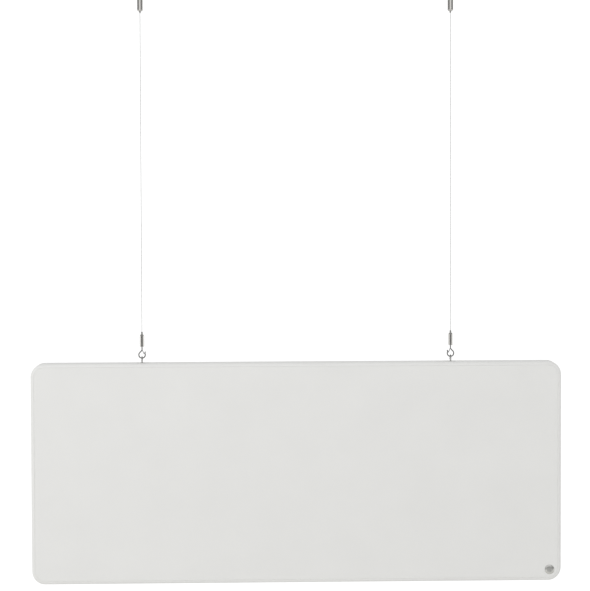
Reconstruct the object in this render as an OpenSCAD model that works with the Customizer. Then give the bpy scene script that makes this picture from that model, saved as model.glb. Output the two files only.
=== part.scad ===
// Hanging acoustic panel: a fabric-covered panel with rounded corners, hung from the
// ceiling on two steel wires. Each wire is held by a self-locking gripper at both ends,
// and the lower grippers carry gated hooks that take the panel's two eye screws.
// Millimetres, +Z up, front face towards -Y. The origin is on the ceiling, midway
// between the two ceiling bases.

/* [Panel] */
// Width of the panel
panel_w = 1200; // [900:10:1800]
// Height of the panel
panel_h = 500; // [300:10:900]
// Thickness of the panel
panel_t = 40; // [34:1:60]
// Radius of the four corners, seen from the front
corner_r = 30; // [20:1:40]
// Roundness of the covered edges
edge_r = 8; // [5:0.5:10]
// Thickness of the cover fabric
cover_t = 1; // [0.6:0.1:1.5]
// Thickness of the wadding under each face
wadding_t = 5; // [3:0.5:8]

/* [Frame] */
// Height of the top and bottom rails
rail_w = 45; // [42:1:80]
// Width of the side and centre stiles
stile_w = 45; // [42:1:80]
// Clearance between the frame and the cover round its edge
frame_clear = 0.4; // [0.3:0.1:0.8]
// Clearance round each acoustic core
core_clear = 0.3; // [0.2:0.1:0.8]
// Diameter of the frame screws
screw_d = 4; // [3:0.5:5]
// Diameter of the frame screws' heads
screw_head_d = 8; // [6.5:0.5:9]
// Length that each frame screw bites into a stile
screw_bite = 25; // [15:1:40]
// Clearance round every fastener in its hole
hole_clear = 0.05; // [0.03:0.01:0.15]

/* [Badge] */
// Diameter of the bare metal badge
badge_d = 22; // [14:1:24]
// Thickness of the badge at its rim
badge_t = 1.4; // [1:0.1:2.5]
// Width of the badge's raised rim
badge_rim = 1.6; // [1:0.1:2.5]
// Distance of the badge's centre from the right side
badge_side = 27; // [24:1:40]
// Distance of the badge's centre from the bottom
badge_up = 26; // [24:1:30]
// Diameter of the badge's pin
badge_pin_d = 2.5; // [1.5:0.1:4]
// Length of the badge's pin behind the cover
badge_pin_l = 20; // [12:1:28]

/* [Eye screws] */
// Distance between the two wires
wire_spacing = 700; // [300:10:760]
// Radius of the eye's ring, to the middle of its wire
eye_r = 6; // [5.5:0.1:8]
// Diameter of the eye's wire
eye_d = 3; // [2:0.1:3.4]
// Height of the collar under the ring
eye_collar_h = 0.4; // [0.3:0.1:2]
// Diameter of the collar
eye_collar_d = 4.8; // [4.4:0.1:8]
// Diameter of the shank in the rail
eye_shank_d = 4; // [3:0.1:4.4]
// Length of the shank below the panel's top
eye_shank_l = 34; // [20:1:36]

/* [Hooks] */
// Radius of the hook's loop, to the middle of its wire
hook_r = 7.3; // [7:0.1:9]
// Diameter of the hook's wire
hook_d = 2.7; // [2:0.1:3]
// Radius of the bend from the stem into the loop
bend_r = 3; // [2.4:0.1:4]
// Angle between the stem and the straight that runs down to the loop
bend_a = 44; // [40:1:56]
// Height of the gripper's end above the middle of the loop
stem_h = 18.7; // [16:0.1:26]
// Length of the stem inside the hook's plug
stem_grip = 5.2; // [3:0.1:5.5]
// Angle of the loop's end above the horizontal
mouth_a = 20; // [10:1:30]
// Radius of the flared tip
tip_r = 4.5; // [3.5:0.1:6]
// Angle through which the tip flares
tip_a = 52; // [40:1:75]
// Diameter of the gate's wire
gate_d = 1.2; // [0.6:0.05:1.3]
// Height of the gate's pivot above the middle of the loop
gate_pivot_h = 12.6; // [12.5:0.1:13.5]
// Gap between hooked or sliding wires
wire_gap = 0.3; // [0.2:0.05:0.4]

/* [Grippers] */
// Diameter of the upper grippers' barrels
upper_d = 12.6; // [11:0.1:16]
// Length of the upper barrels, without their tapered end
upper_l = 30; // [28:0.5:50]
// Length of the upper noses that shows at rest
upper_nose = 4.6; // [4:0.1:8]
// Length of the ball studs' plugs in the barrels
stud_plug_l = 10; // [6:0.5:12]
// Diameter of the lower grippers' barrels
lower_d = 10; // [9.6:0.1:14]
// Length of the lower barrels, without their tapered end
lower_l = 25; // [24:0.5:45]
// Length of the lower noses that shows at rest
lower_nose = 5.4; // [4:0.1:8]
// Length of the hooks' plugs in the barrels
hook_plug_l = 7; // [6:0.5:9]
// Length of the barrels' tapered ends
taper_l = 3; // [2:0.1:5]
// Diameter of the barrels' tapered ends at the mouth
mouth_d = 5.8; // [5.4:0.1:7]
// Diameter of the barrels' bore
bore_d = 6.6; // [6.2:0.1:7.2]
// Straight length of the throat before the locking cone
throat_l = 4; // [3:0.1:6]
// Half-angle of the locking cone
cone_a = 11; // [9:0.5:14]
// Diameter of the plungers
plunger_d = 4; // [3.9:0.1:4.2]
// Diameter of the plungers' tips
plunger_tip_d = 3; // [2.6:0.1:3.4]
// Length of the plungers' tapered tips
plunger_tip_l = 2; // [1:0.1:3]
// Clearance between a plunger and its throat
slide_clear = 0.1; // [0.05:0.01:0.15]
// Thickness of the plungers' flanges
flange_t = 1; // [0.8:0.1:2]
// Clearance between a flange and the bore
flange_clear = 0.3; // [0.2:0.05:0.5]
// Diameter of the locking balls
ball_d = 2; // [1.9:0.02:2.06]
// Number of locking balls in each gripper
ball_n = 3; // [2:1:3]
// Diameter of the spring wire
spring_wire_d = 0.6; // [0.4:0.05:0.7]
// Outside diameter of the springs
spring_d = 5.6; // [5:0.1:5.8]
// Turns in each spring
spring_turns = 6; // [4:1:8]

/* [Wires] */
// Diameter of the wires
wire_d = 1.2; // [1:0.05:1.3]
// Free length of each wire between its two grippers
wire_l = 718.4; // [300:0.1:3000]
// Clearance between a wire and the plunger round it
wire_clear = 0.15; // [0.1:0.01:0.25]

/* [Ceiling fittings] */
// Diameter of the ceiling bases
base_d = 24; // [20:0.5:40]
// Thickness of the ceiling bases
base_t = 4; // [3.5:0.1:8]
// Diameter of the hole for the ceiling screw
base_hole_d = 5; // [4:0.1:6]
// Diameter of the countersink for the ceiling screw's head
base_sink_d = 9.4; // [8:0.1:10]
// Depth of the countersink
base_sink_l = 2.2; // [1.5:0.1:3]
// Height of the base's threaded skirt
skirt_l = 5; // [4:0.1:5.4]
// Thickness of the skirt's wall
skirt_t = 1.7; // [1:0.1:2.5]
// Diameter of the ball
stud_ball_d = 9; // [8.6:0.1:10]
// Diameter of the stud's neck
neck_d = 3.6; // [3:0.1:3.8]
// Distance from the ball's centre to the gripper
neck_l = 8; // [7.6:0.1:14]
// Room between the ball and the base
head_room = 1.9; // [1.5:0.1:4]
// Clearance between the ball and its socket
socket_clear = 0.1; // [0.05:0.01:0.15]
// Distance from the ball's centre to the lip that holds it
lip_h = 3; // [2.6:0.1:3.2]
// Thickness of the cap below the lip
lip_t = 0.8; // [0.6:0.1:1]
// Thickness of the cap's wall
cap_t = 1.9; // [1.2:0.1:4]

/* [Hidden] */
$fn = 48;

STEEL = [0.72, 0.72, 0.70];
NICKEL = [0.62, 0.62, 0.60];
SPRING_STEEL = [0.5, 0.5, 0.5];
COVER = [0.89, 0.89, 0.88];
WADDING = [0.95, 0.95, 0.93];
CORE = [0.80, 0.78, 0.70];
PINE = [0.82, 0.68, 0.48];

// a whisker past a face, so that a cut goes right through it
eps = 0.01;
// the little room that a screwed or seated round piece keeps in its hole
seat = 0.05;
// the least gap between pieces that press on each other
touch = 0.02;
// how far the wire's end stops short of the barrel's plug
wire_short = 4;

// Ceiling fittings, from the ceiling down
ball_z = -(base_t + head_room + stud_ball_d / 2);
socket_r = stud_ball_d / 2 + socket_clear;
lip_r = sqrt(socket_r * socket_r - lip_h * lip_h);
skirt_in_r = socket_r + 0.6;
skirt_out_r = skirt_in_r + skirt_t;
cap_r = skirt_out_r + seat + cap_t;
upper_top_z = ball_z - neck_l;

// Grippers: heights are measured from the tip of the nose into the barrel
bore_r = bore_d / 2;
throat_r = plunger_d / 2 + slide_clear;
cone_l = (bore_r - throat_r) / tan(cone_a);
ball_out = wire_d / 2 + ball_d / 2 + touch;
ball_in_cone = (ball_out + (ball_d / 2 + touch) / cos(cone_a) - throat_r) / tan(cone_a);
flange_r = bore_r - flange_clear;
upper_len = upper_nose + taper_l + upper_l;
lower_len = lower_nose + taper_l + lower_l;
function cone_start(nose) = nose + throat_l;
function flange_z(nose) = cone_start(nose) + cone_l;
function spring_z(nose) = flange_z(nose) + flange_t + touch;

// Tips of the noses, hook loops and the panel
upper_tip_z = upper_top_z - upper_len;
lower_tip_z = upper_tip_z - wire_l - 2 * wire_gap;
loop_z = lower_tip_z - lower_len - stem_h;
seat_z = loop_z - hook_r;
ring_z = seat_z + hook_d / 2 + wire_gap + eye_d / 2 - eye_r;
panel_top = ring_z - eye_r - eye_d / 2 - eye_collar_h;
panel_z = panel_top - panel_h / 2;
panel_bottom = panel_top - panel_h;

// Hook and gate: the stem bends into a straight that meets the loop without a kink
bend_run = (hook_r * cos(bend_a) - bend_r * (1 - cos(bend_a))) / sin(bend_a);
bend_h = (bend_r + hook_r) * sin(bend_a) + bend_run * cos(bend_a);
// how much thicker the wire is where one bend ends and the next begins
knuckle = 0.06;
gate_y = hook_d / 2 + wire_gap + gate_d / 2;
gate_out = hook_r - hook_d / 2 - wire_gap - gate_d / 2;
gate_a = mouth_a + 4;
gate_x = gate_out * cos(gate_a);
gate_z = gate_out * sin(gate_a);

// Layers of the panel, from its middle plane out
frame_t = panel_t - 2 * (cover_t + wadding_t);
round_depth = max(0, edge_r - cover_t - wadding_t);
frame_in = edge_r - sqrt(pow(edge_r - cover_t, 2) - pow(round_depth, 2)) + frame_clear;
frame_w = panel_w - 2 * frame_in;
frame_h = panel_h - 2 * frame_in;
frame_r = corner_r - frame_in;
stile_h = frame_h - 2 * rail_w;
side_stile_x = frame_w / 2 - stile_w / 2;
screw_x = panel_w / 2 - corner_r - screw_head_d / 2;
screw_head_l = (screw_head_d - screw_d) / 2;
bay_w = (frame_w - 3 * stile_w) / 2;
badge_x = panel_w / 2 - badge_side;
badge_z = panel_bottom + badge_up;

// A fitting modelled on the Z axis, placed on each wire; the right one is turned half round
module at_left() { translate([-wire_spacing / 2, 0, 0]) children(); }
module at_right() { translate([wire_spacing / 2, 0, 0]) rotate([0, 0, 180]) children(); }

// Ceiling base: a countersunk disc with a threaded skirt for the cap
module ceiling_base() {
    color(NICKEL) difference() {
        union() {
            translate([0, 0, -base_t]) cylinder(d = base_d, h = base_t);
            translate([0, 0, -base_t - skirt_l]) cylinder(r = skirt_out_r, h = skirt_l + 1);
        }
        translate([0, 0, -base_t - skirt_l - eps]) cylinder(r = skirt_in_r, h = skirt_l + eps);
        translate([0, 0, -base_t - 1]) cylinder(d = base_hole_d, h = base_t + 2);
        translate([0, 0, -base_t]) cylinder(d1 = base_sink_d, d2 = base_hole_d, h = base_sink_l);
    }
}

// Ceiling cap: screws up on the skirt and holds the ball in a socket with a flared mouth
module ceiling_cap() {
    shoulder_z = -base_t - skirt_l;
    bottom_z = ball_z - lip_h - lip_t;
    cone_in = 0.5;
    color(NICKEL) difference() {
        translate([0, 0, bottom_z]) rounded_cap(cap_r, -base_t - bottom_z);
        translate([0, 0, ball_z]) sphere(r = socket_r);
        translate([0, 0, ball_z]) cylinder(r = socket_r, h = shoulder_z - ball_z + eps);
        translate([0, 0, shoulder_z]) cylinder(r = skirt_out_r + seat, h = skirt_l + 1);
        translate([0, 0, bottom_z - eps])
            cylinder(r1 = lip_r + lip_t + eps, r2 = lip_r - cone_in, h = lip_t + cone_in + eps);
    }
}

// A cup blank whose lower outside edge is turned to a radius
module rounded_cap(r, h) {
    round_r = 2;
    rotate_extrude() union() {
        translate([0, round_r]) square([r, h - round_r]);
        square([r - round_r, h]);
        intersection() {
            translate([r - round_r, round_r]) circle(r = round_r);
            square([r, h]);
        }
    }
}

// Ball stud: the ball, its neck and the threaded plug that closes the upper barrel
module ball_stud() {
    color(STEEL) union() {
        translate([0, 0, ball_z]) sphere(d = stud_ball_d);
        translate([0, 0, upper_top_z - 1]) cylinder(d = neck_d, h = neck_l + 1);
        translate([0, 0, upper_top_z - stud_plug_l]) cylinder(r = bore_r - seat, h = stud_plug_l);
    }
}

// Barrel of a gripper, nose down: a turned tube with a tapered end, a throat and a locking cone
module barrel(d, l, nose) {
    end = nose + taper_l + l;
    color(NICKEL) rotate_extrude() polygon([
        [throat_r, nose],
        [mouth_d / 2, nose],
        [d / 2, nose + taper_l],
        [d / 2, end - 0.5],
        [d / 2 - 0.5, end],
        [bore_r, end],
        [bore_r, flange_z(nose)],
        [throat_r, cone_start(nose)]
    ]);
}

// Plunger of a gripper, nose down: a tube with ball pockets and the spring's flange
module plunger(nose) {
    top = flange_z(nose) + flange_t;
    color(STEEL) difference() {
        union() {
            cylinder(d1 = plunger_tip_d, d2 = plunger_d, h = plunger_tip_l);
            translate([0, 0, plunger_tip_l]) cylinder(d = plunger_d, h = top - plunger_tip_l);
            translate([0, 0, top - flange_t]) cylinder(r = flange_r, h = flange_t);
        }
        translate([0, 0, -1]) cylinder(r = wire_d / 2 + wire_clear, h = top + 2);
        for (i = [0 : ball_n - 1])
            rotate([0, 0, 360 * i / ball_n])
                translate([0, 0, cone_start(nose) + ball_in_cone])
                    rotate([0, 90, 0]) cylinder(d = ball_d + 2 * seat, h = plunger_d);
    }
}

// The locking balls, wedged between the wire and the cone
module balls(nose) {
    color(SPRING_STEEL)
        for (i = [0 : ball_n - 1])
            rotate([0, 0, 360 * i / ball_n])
                translate([ball_out, 0, cone_start(nose) + ball_in_cone]) sphere(d = ball_d);
}

// Compression spring from the flange to the plug, as one tube swept along a helix
module spring(nose, end) {
    steps = 12;
    sides = 6;
    wire_r = spring_wire_d / 2;
    coil_r = spring_d / 2 - wire_r;
    low = spring_z(nose) + wire_r;
    high = end - touch - wire_r;
    rings = spring_turns * steps;
    // a point on the helix, or beside it by out and up
    function coil_point(i, out = 0, up = 0) = [
        (coil_r + out) * cos(360 * i / steps),
        (coil_r + out) * sin(360 * i / steps),
        low + (high - low) * i / rings + up
    ];
    points = [
        for (i = [0 : rings], k = [0 : sides - 1])
            let (round = 360 * k / sides) coil_point(i, wire_r * cos(round), wire_r * sin(round))
    ];
    apart = [
        for (i = [0 : rings - steps / 2], j = [i + steps / 2 : rings])
            norm(coil_point(i) - coil_point(j))
    ];
    echo(str("least gap between a spring's turns, mm: ", min(apart) - spring_wire_d));
    function at(i, k) = i * sides + k % sides;
    walls = [
        for (i = [0 : rings - 1], k = [0 : sides - 1])
            each [
                [at(i, k), at(i, k + 1), at(i + 1, k)],
                [at(i, k + 1), at(i + 1, k + 1), at(i + 1, k)]
            ]
    ];
    start_cap = [for (k = [1 : sides - 2]) [at(0, 0), at(0, k + 1), at(0, k)]];
    end_cap = [for (k = [1 : sides - 2]) [at(rings, 0), at(rings, k), at(rings, k + 1)]];
    color(SPRING_STEEL) polyhedron(points, concat(walls, start_cap, end_cap));
}

// The end of the wire that a gripper holds
module wire_end(end) {
    color(STEEL) cylinder(d = wire_d, h = end - wire_short);
}

// The upper gripper's pieces, nose down at the top of the wire
module upper() { translate([0, 0, upper_tip_z]) children(); }
module upper_barrel() { upper() barrel(upper_d, upper_l, upper_nose); }
module upper_plunger() { upper() plunger(upper_nose); }
module upper_balls() { upper() balls(upper_nose); }
module upper_spring() { upper() spring(upper_nose, upper_len - stud_plug_l); }
module wire_top_end() { upper() wire_end(upper_len - stud_plug_l); }

// The lower gripper's pieces, nose up at the bottom of the wire
module lower() { translate([0, 0, lower_tip_z]) rotate([180, 0, 0]) children(); }
module lower_barrel() { lower() barrel(lower_d, lower_l, lower_nose); }
module lower_plunger() { lower() plunger(lower_nose); }
module lower_balls() { lower() balls(lower_nose); }
module lower_spring() { lower() spring(lower_nose, lower_len - hook_plug_l); }
module wire_bottom_end() { lower() wire_end(lower_len - hook_plug_l); }

// The wire's free length
module wire() {
    color(STEEL) translate([0, 0, upper_tip_z - wire_gap - wire_l]) cylinder(d = wire_d, h = wire_l);
}

// Plug that closes the lower barrel and takes the hook's stem
module hook_plug() {
    bottom = loop_z + stem_h;
    color(NICKEL) difference() {
        translate([0, 0, bottom]) cylinder(r = bore_r - seat, h = hook_plug_l);
        translate([0, 0, bottom - 1]) cylinder(d = hook_d + 2 * seat, h = stem_grip + seat + 1);
    }
}

// Round wire bent step by step, as on a bending machine. Each step is the roll about the
// wire's own axis, the radius of the bend, its angle and the straight after it, if any.
// A round knuckle joins the bends
module bent_wire(steps, i = 0) {
    sphere(d = hook_d + 2 * knuckle);
    if (i < len(steps)) {
        r = steps[i][1];
        a = steps[i][2];
        short = asin(knuckle / r);
        rotate([0, 0, steps[i][0]]) {
            translate([r, 0, 0]) rotate([90, 0, 0]) rotate([0, 0, 180 - a + short])
                rotate_extrude(angle = a - 2 * short) translate([r, 0]) circle(d = hook_d);
            translate([r - r * cos(a), 0, r * sin(a)]) rotate([0, a, 0]) {
                if (steps[i][3] > 0) {
                    sphere(d = hook_d + 2 * knuckle);
                    translate([0, 0, knuckle]) cylinder(d = hook_d, h = steps[i][3] - 2 * knuckle);
                }
                translate([0, 0, steps[i][3]]) bent_wire(steps, i + 1);
            }
        }
    }
}

// Hook: stem, bend, open loop and flared tip, bent from one wire, drilled for the gate's pin
module hook() {
    stem_l = stem_h + stem_grip - bend_h - knuckle;
    color(STEEL) translate([0, 0, loop_z]) difference() {
        union() {
            translate([0, 0, bend_h + knuckle]) cylinder(d = hook_d, h = stem_l);
            translate([0, 0, bend_h]) rotate([0, 180, 0]) bent_wire([
                [0, bend_r, bend_a, bend_run],
                [180, hook_r, 180 + bend_a + mouth_a, 0],
                [180, tip_r, tip_a, 0]
            ]);
        }
        translate([0, 0, gate_pivot_h]) rotate([90, 0, 0])
            cylinder(d = gate_d + 2 * seat, h = 2 * hook_d, center = true);
    }
}

// Gate: a bail of thin spring wire on a pin through the stem, resting inside the tip
module gate() {
    run = sqrt(gate_x * gate_x + (gate_pivot_h - gate_z) * (gate_pivot_h - gate_z));
    lean = atan2(gate_x, gate_pivot_h - gate_z);
    color(SPRING_STEEL) translate([0, 0, loop_z + gate_pivot_h]) rotate([0, -lean, 0]) union() {
        rotate([90, 0, 0]) cylinder(d = gate_d, h = 2 * gate_y, center = true);
        translate([0, 0, -run]) rotate([90, 0, 0]) cylinder(d = gate_d, h = 2 * gate_y, center = true);
        for (side = [-1, 1]) {
            translate([0, side * gate_y, -run]) cylinder(d = gate_d, h = run);
            translate([0, side * gate_y, 0]) sphere(d = gate_d);
            translate([0, side * gate_y, -run]) sphere(d = gate_d);
        }
    }
}

// Eye screw: a ring turned edge-on to the panel's face, on a collar and a shank
module eye_screw() {
    color(STEEL) union() {
        translate([0, 0, ring_z]) rotate([0, 90, 0])
            rotate_extrude() translate([eye_r, 0]) circle(d = eye_d);
        translate([0, 0, panel_top]) cylinder(d = eye_collar_d, h = eye_collar_h + eye_d / 2);
        translate([0, 0, panel_top - eye_shank_l]) cylinder(d = eye_shank_d, h = eye_shank_l + eye_collar_h);
    }
}

// Outline with round corners, drawn inset from the panel's outline
module outline(inset) {
    r = corner_r - inset;
    w = panel_w - 2 * inset;
    h = panel_h - 2 * inset;
    union() {
        square([w - 2 * r, h], center = true);
        square([w, h - 2 * r], center = true);
        for (x = [-1, 1], z = [-1, 1]) translate([x * (w / 2 - r), z * (h / 2 - r)]) circle(r = r);
    }
}

// A plate with that outline, from one depth to another
module plate(inset, y0, y1) {
    translate([0, y1, panel_z]) rotate([90, 0, 0]) linear_extrude(y1 - y0) outline(inset);
}

// Hole for a fastener that runs along Z, from one height to another
module upright_hole(x, d, z0, z1) {
    translate([x, 0, z0]) cylinder(d = d + 2 * hole_clear, h = z1 - z0);
}

// Hole for the badge's pin, through whatever lies between two depths
module badge_hole(y0, y1) {
    translate([badge_x, y1, badge_z]) rotate([90, 0, 0])
        cylinder(d = badge_pin_d + 2 * hole_clear, h = y1 - y0);
}

// Front face of the cover, sewn to the edge band along its outline
module front_cover() {
    y = -panel_t / 2;
    color(COVER) difference() {
        plate(edge_r, y, y + cover_t);
        badge_hole(y - 1, y + cover_t + 1);
    }
}

module back_cover() {
    color(COVER) plate(edge_r, panel_t / 2 - cover_t, panel_t / 2);
}

// Section of the edge band: distance in from the outer edge, and depth
module band_shape(inset) {
    r = edge_r - inset;
    flat = panel_t / 2 - edge_r;
    translate([inset, -flat]) square([r + eps, 2 * flat]);
    for (side = [-1, 1]) translate([edge_r, side * flat]) circle(r = r);
}

module band_section() {
    intersection() {
        difference() {
            band_shape(0);
            band_shape(cover_t);
        }
        translate([0, -panel_t / 2]) square([edge_r, panel_t]);
    }
}

// One straight side of the band, along X, with its outer edge up
module band_side(length) {
    translate([-length / 2, 0, 0]) rotate([0, 90, 0]) linear_extrude(length) band_section();
}

// One corner of the band, turned about the corner's centre
module band_corner() {
    rotate([90, 0, 0]) rotate_extrude(angle = 90)
        translate([corner_r, 0]) mirror([1, 0]) band_section();
}

// Edge band: the cover's side, all round the panel, with a hole for each eye screw
module edge_band() {
    w = panel_w - 2 * corner_r;
    h = panel_h - 2 * corner_r;
    color(COVER) difference() {
        translate([0, 0, panel_z]) union() {
            for (up = [0, 180]) {
                rotate([0, up, 0]) translate([0, 0, panel_h / 2]) band_side(w);
                rotate([0, up + 90, 0]) translate([0, 0, panel_w / 2]) band_side(h);
                rotate([0, -up, 0]) translate([w / 2, 0, h / 2]) band_corner();
                rotate([0, -up, 0]) mirror([1, 0, 0]) translate([w / 2, 0, h / 2]) band_corner();
            }
        }
        for (side = [-1, 1])
            upright_hole(side * wire_spacing / 2, eye_shank_d, panel_top - edge_r, panel_top + 1);
    }
}

module front_wadding() {
    y = -frame_t / 2 - wadding_t;
    color(WADDING) difference() {
        plate(edge_r, y, y + wadding_t);
        badge_hole(y - 1, y + wadding_t + 1);
    }
}

module back_wadding() {
    color(WADDING) plate(edge_r, frame_t / 2, frame_t / 2 + wadding_t);
}

// The part of the frame's outline that lies between two heights, cut for the screws
module rail_blank(z0, z1) {
    intersection() {
        plate(frame_in, -frame_t / 2, frame_t / 2);
        translate([-panel_w / 2, -panel_t / 2, z0]) cube([panel_w, panel_t, z1 - z0]);
    }
}

// One frame screw, or the hole for it, with its countersunk head flush at height 0
module frame_screw(room) {
    d = screw_d + 2 * room;
    head_d = screw_head_d + 2 * room;
    translate([0, 0, -screw_head_l]) cylinder(d1 = d, d2 = head_d, h = screw_head_l);
    translate([0, 0, -rail_w - screw_bite - room]) cylinder(d = d, h = rail_w + screw_bite);
    if (room > 0) cylinder(d = head_d, h = 1);
}

// Every frame screw in its place; room is what a hole has more than the screw
module all_screws(room) {
    for (x = [-screw_x, 0, screw_x]) {
        translate([x, 0, panel_top - frame_in]) frame_screw(room);
        translate([x, 0, panel_bottom + frame_in]) mirror([0, 0, 1]) frame_screw(room);
    }
}

module top_rail() {
    top = panel_top - frame_in;
    color(PINE) difference() {
        rail_blank(top - rail_w, top);
        all_screws(hole_clear);
        for (side = [-1, 1])
            upright_hole(side * wire_spacing / 2, eye_shank_d,
                panel_top - eye_shank_l - 1, panel_top);
    }
}

module bottom_rail() {
    bottom = panel_bottom + frame_in;
    color(PINE) difference() {
        rail_blank(bottom, bottom + rail_w);
        all_screws(hole_clear);
        badge_hole(-panel_t / 2, -panel_t / 2 + badge_pin_l + 1);
    }
}

module stile(x) {
    color(PINE) difference() {
        translate([x - stile_w / 2, -frame_t / 2, panel_z - stile_h / 2])
            cube([stile_w, frame_t, stile_h]);
        all_screws(hole_clear);
    }
}

module core(side) {
    w = bay_w - 2 * core_clear;
    h = stile_h - 2 * core_clear;
    color(CORE) translate([side * (stile_w + bay_w) / 2 - w / 2, -frame_t / 2, panel_z - h / 2])
        cube([w, frame_t, h]);
}

module frame_screws() { color(STEEL) all_screws(0); }

// Badge: a bare turned disc with a raised rim, a shallow dish and a low dome
module badge() {
    r = badge_d / 2;
    dish = badge_t / 2;
    dome_r = r / 2;
    color(STEEL) translate([badge_x, -panel_t / 2, badge_z]) rotate([90, 0, 0])
        rotate_extrude() polygon([
            [0, 0],
            [r, 0],
            [r, badge_t - 0.3],
            [r - 0.3, badge_t],
            [r - badge_rim, badge_t],
            [r - badge_rim - dish, dish],
            [dome_r + dish, dish],
            [dome_r, badge_t],
            [0, badge_t]
        ]);
}

module badge_pin() {
    color(STEEL) translate([badge_x, -panel_t / 2 + badge_pin_l, badge_z]) rotate([90, 0, 0])
        cylinder(d = badge_pin_d, h = badge_pin_l);
}

at_left() ceiling_base();  // left_ceiling_base
at_right() ceiling_base();  // right_ceiling_base
at_left() ceiling_cap();  // left_ceiling_cap
at_right() ceiling_cap();  // right_ceiling_cap
at_left() ball_stud();  // left_ball_stud
at_right() ball_stud();  // right_ball_stud
at_left() upper_barrel();  // left_upper_barrel
at_right() upper_barrel();  // right_upper_barrel
at_left() upper_spring();  // left_upper_spring
at_right() upper_spring();  // right_upper_spring
at_left() upper_plunger();  // left_upper_plunger
at_right() upper_plunger();  // right_upper_plunger
at_left() upper_balls();  // left_upper_balls
at_right() upper_balls();  // right_upper_balls
at_left() wire_top_end();  // left_wire_top_end
at_right() wire_top_end();  // right_wire_top_end
at_left() wire();  // left_wire
at_right() wire();  // right_wire
at_left() wire_bottom_end();  // left_wire_bottom_end
at_right() wire_bottom_end();  // right_wire_bottom_end
at_left() lower_plunger();  // left_lower_plunger
at_right() lower_plunger();  // right_lower_plunger
at_left() lower_balls();  // left_lower_balls
at_right() lower_balls();  // right_lower_balls
at_left() lower_spring();  // left_lower_spring
at_right() lower_spring();  // right_lower_spring
at_left() lower_barrel();  // left_lower_barrel
at_right() lower_barrel();  // right_lower_barrel
at_left() hook_plug();  // left_hook_plug
at_right() hook_plug();  // right_hook_plug
at_left() hook();  // left_hook
at_right() hook();  // right_hook
at_left() gate();  // left_gate
at_right() gate();  // right_gate
at_left() eye_screw();  // left_eye_screw
at_right() eye_screw();  // right_eye_screw
front_cover();
edge_band();
back_cover();
front_wadding();
back_wadding();
top_rail();
bottom_rail();
stile(-side_stile_x);  // left_stile
stile(0);  // centre_stile
stile(side_stile_x);  // right_stile
core(-1);  // left_core
core(1);  // right_core
frame_screws();
badge();
badge_pin();
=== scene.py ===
"""Hanging acoustic panel: the looks of every piece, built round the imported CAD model.

Metres, +Z up, front face towards -Y, origin on the ceiling midway between the two bases.
"""

import math

import bmesh
import bpy
import numpy as np
from mathutils import Matrix, Vector, noise


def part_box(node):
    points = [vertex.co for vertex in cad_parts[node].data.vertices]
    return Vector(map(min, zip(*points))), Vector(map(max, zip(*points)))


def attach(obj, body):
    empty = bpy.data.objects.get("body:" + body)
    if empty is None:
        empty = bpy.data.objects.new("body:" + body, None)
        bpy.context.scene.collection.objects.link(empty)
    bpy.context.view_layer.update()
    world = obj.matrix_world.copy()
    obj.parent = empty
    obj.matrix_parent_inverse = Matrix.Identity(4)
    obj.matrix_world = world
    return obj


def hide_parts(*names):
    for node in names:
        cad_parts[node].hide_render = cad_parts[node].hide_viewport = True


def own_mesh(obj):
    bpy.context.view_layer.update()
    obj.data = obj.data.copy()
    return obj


bl_info = {
    "name": "Hanging Acoustic Panel",
    "version": (1, 0, 0),
    "blender": (4, 5, 0),
    "location": "3D View > Sidebar > Acoustic Panel",
    "description": "Dresses the hanging acoustic panel, its wires, hooks and grippers",
    "category": "Object",
}

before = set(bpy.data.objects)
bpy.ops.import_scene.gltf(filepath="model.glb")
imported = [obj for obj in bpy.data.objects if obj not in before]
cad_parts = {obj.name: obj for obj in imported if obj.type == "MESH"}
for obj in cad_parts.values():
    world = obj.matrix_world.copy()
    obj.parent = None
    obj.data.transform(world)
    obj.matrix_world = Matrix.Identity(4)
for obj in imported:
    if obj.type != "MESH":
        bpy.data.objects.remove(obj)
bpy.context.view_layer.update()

MM = 0.001
SIDES = ("left", "right")
LEVELS = ("upper", "lower")
CLOTH_MAP = "Cloth"

BAND_LOW, BAND_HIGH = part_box("edge_band")
PANEL_SIZE = (BAND_HIGH.x - BAND_LOW.x, BAND_HIGH.z - BAND_LOW.z)
PANEL_MIDDLE = Vector((0, 0, (BAND_HIGH.z + BAND_LOW.z) / 2))
FACE_DEPTH = BAND_HIGH.y

# points along each round corner of the panel's outline, and along its long and short sides
CORNER_STEPS = 20
SIDE_STEPS = (60, 24)
# a filled face's last ring stops this far from the middle line
MIDDLE_GAP = 1.5 * MM
BALLS = 3
SPRING_TURNS = 6
STUD_BALL = 4.5 * MM
# two points nearer than this are one
TINY = 1e-7
# play between two parts that fit in each other
PLAY = 0.05 * MM


def linear(hex_colour):
    """Linear red, green and blue of an sRGB hex colour."""
    values = [int(hex_colour[i : i + 2], 16) / 255 for i in (0, 2, 4)]
    return tuple(v / 12.92 if v <= 0.04045 else ((v + 0.055) / 1.055) ** 2.4 for v in values)


def length_property(name, description, millimetres):
    """A length that the sidebar shows with its unit."""
    return bpy.props.FloatProperty(
        name=name,
        description=description,
        default=millimetres * MM,
        min=0,
        precision=4,
        unit="LENGTH",
        subtype="DISTANCE",
    )


def angle_property(name, description, degrees):
    """An angle that the sidebar shows in degrees."""
    return bpy.props.FloatProperty(
        name=name,
        description=description,
        default=math.radians(degrees),
        unit="ROTATION",
        subtype="ANGLE",
    )


def colour_property(name, description, hex_colour):
    """A colour that the sidebar shows as a swatch."""
    return bpy.props.FloatVectorProperty(
        name=name,
        description=description,
        default=linear(hex_colour),
        min=0,
        max=1,
        subtype="COLOR",
    )


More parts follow.
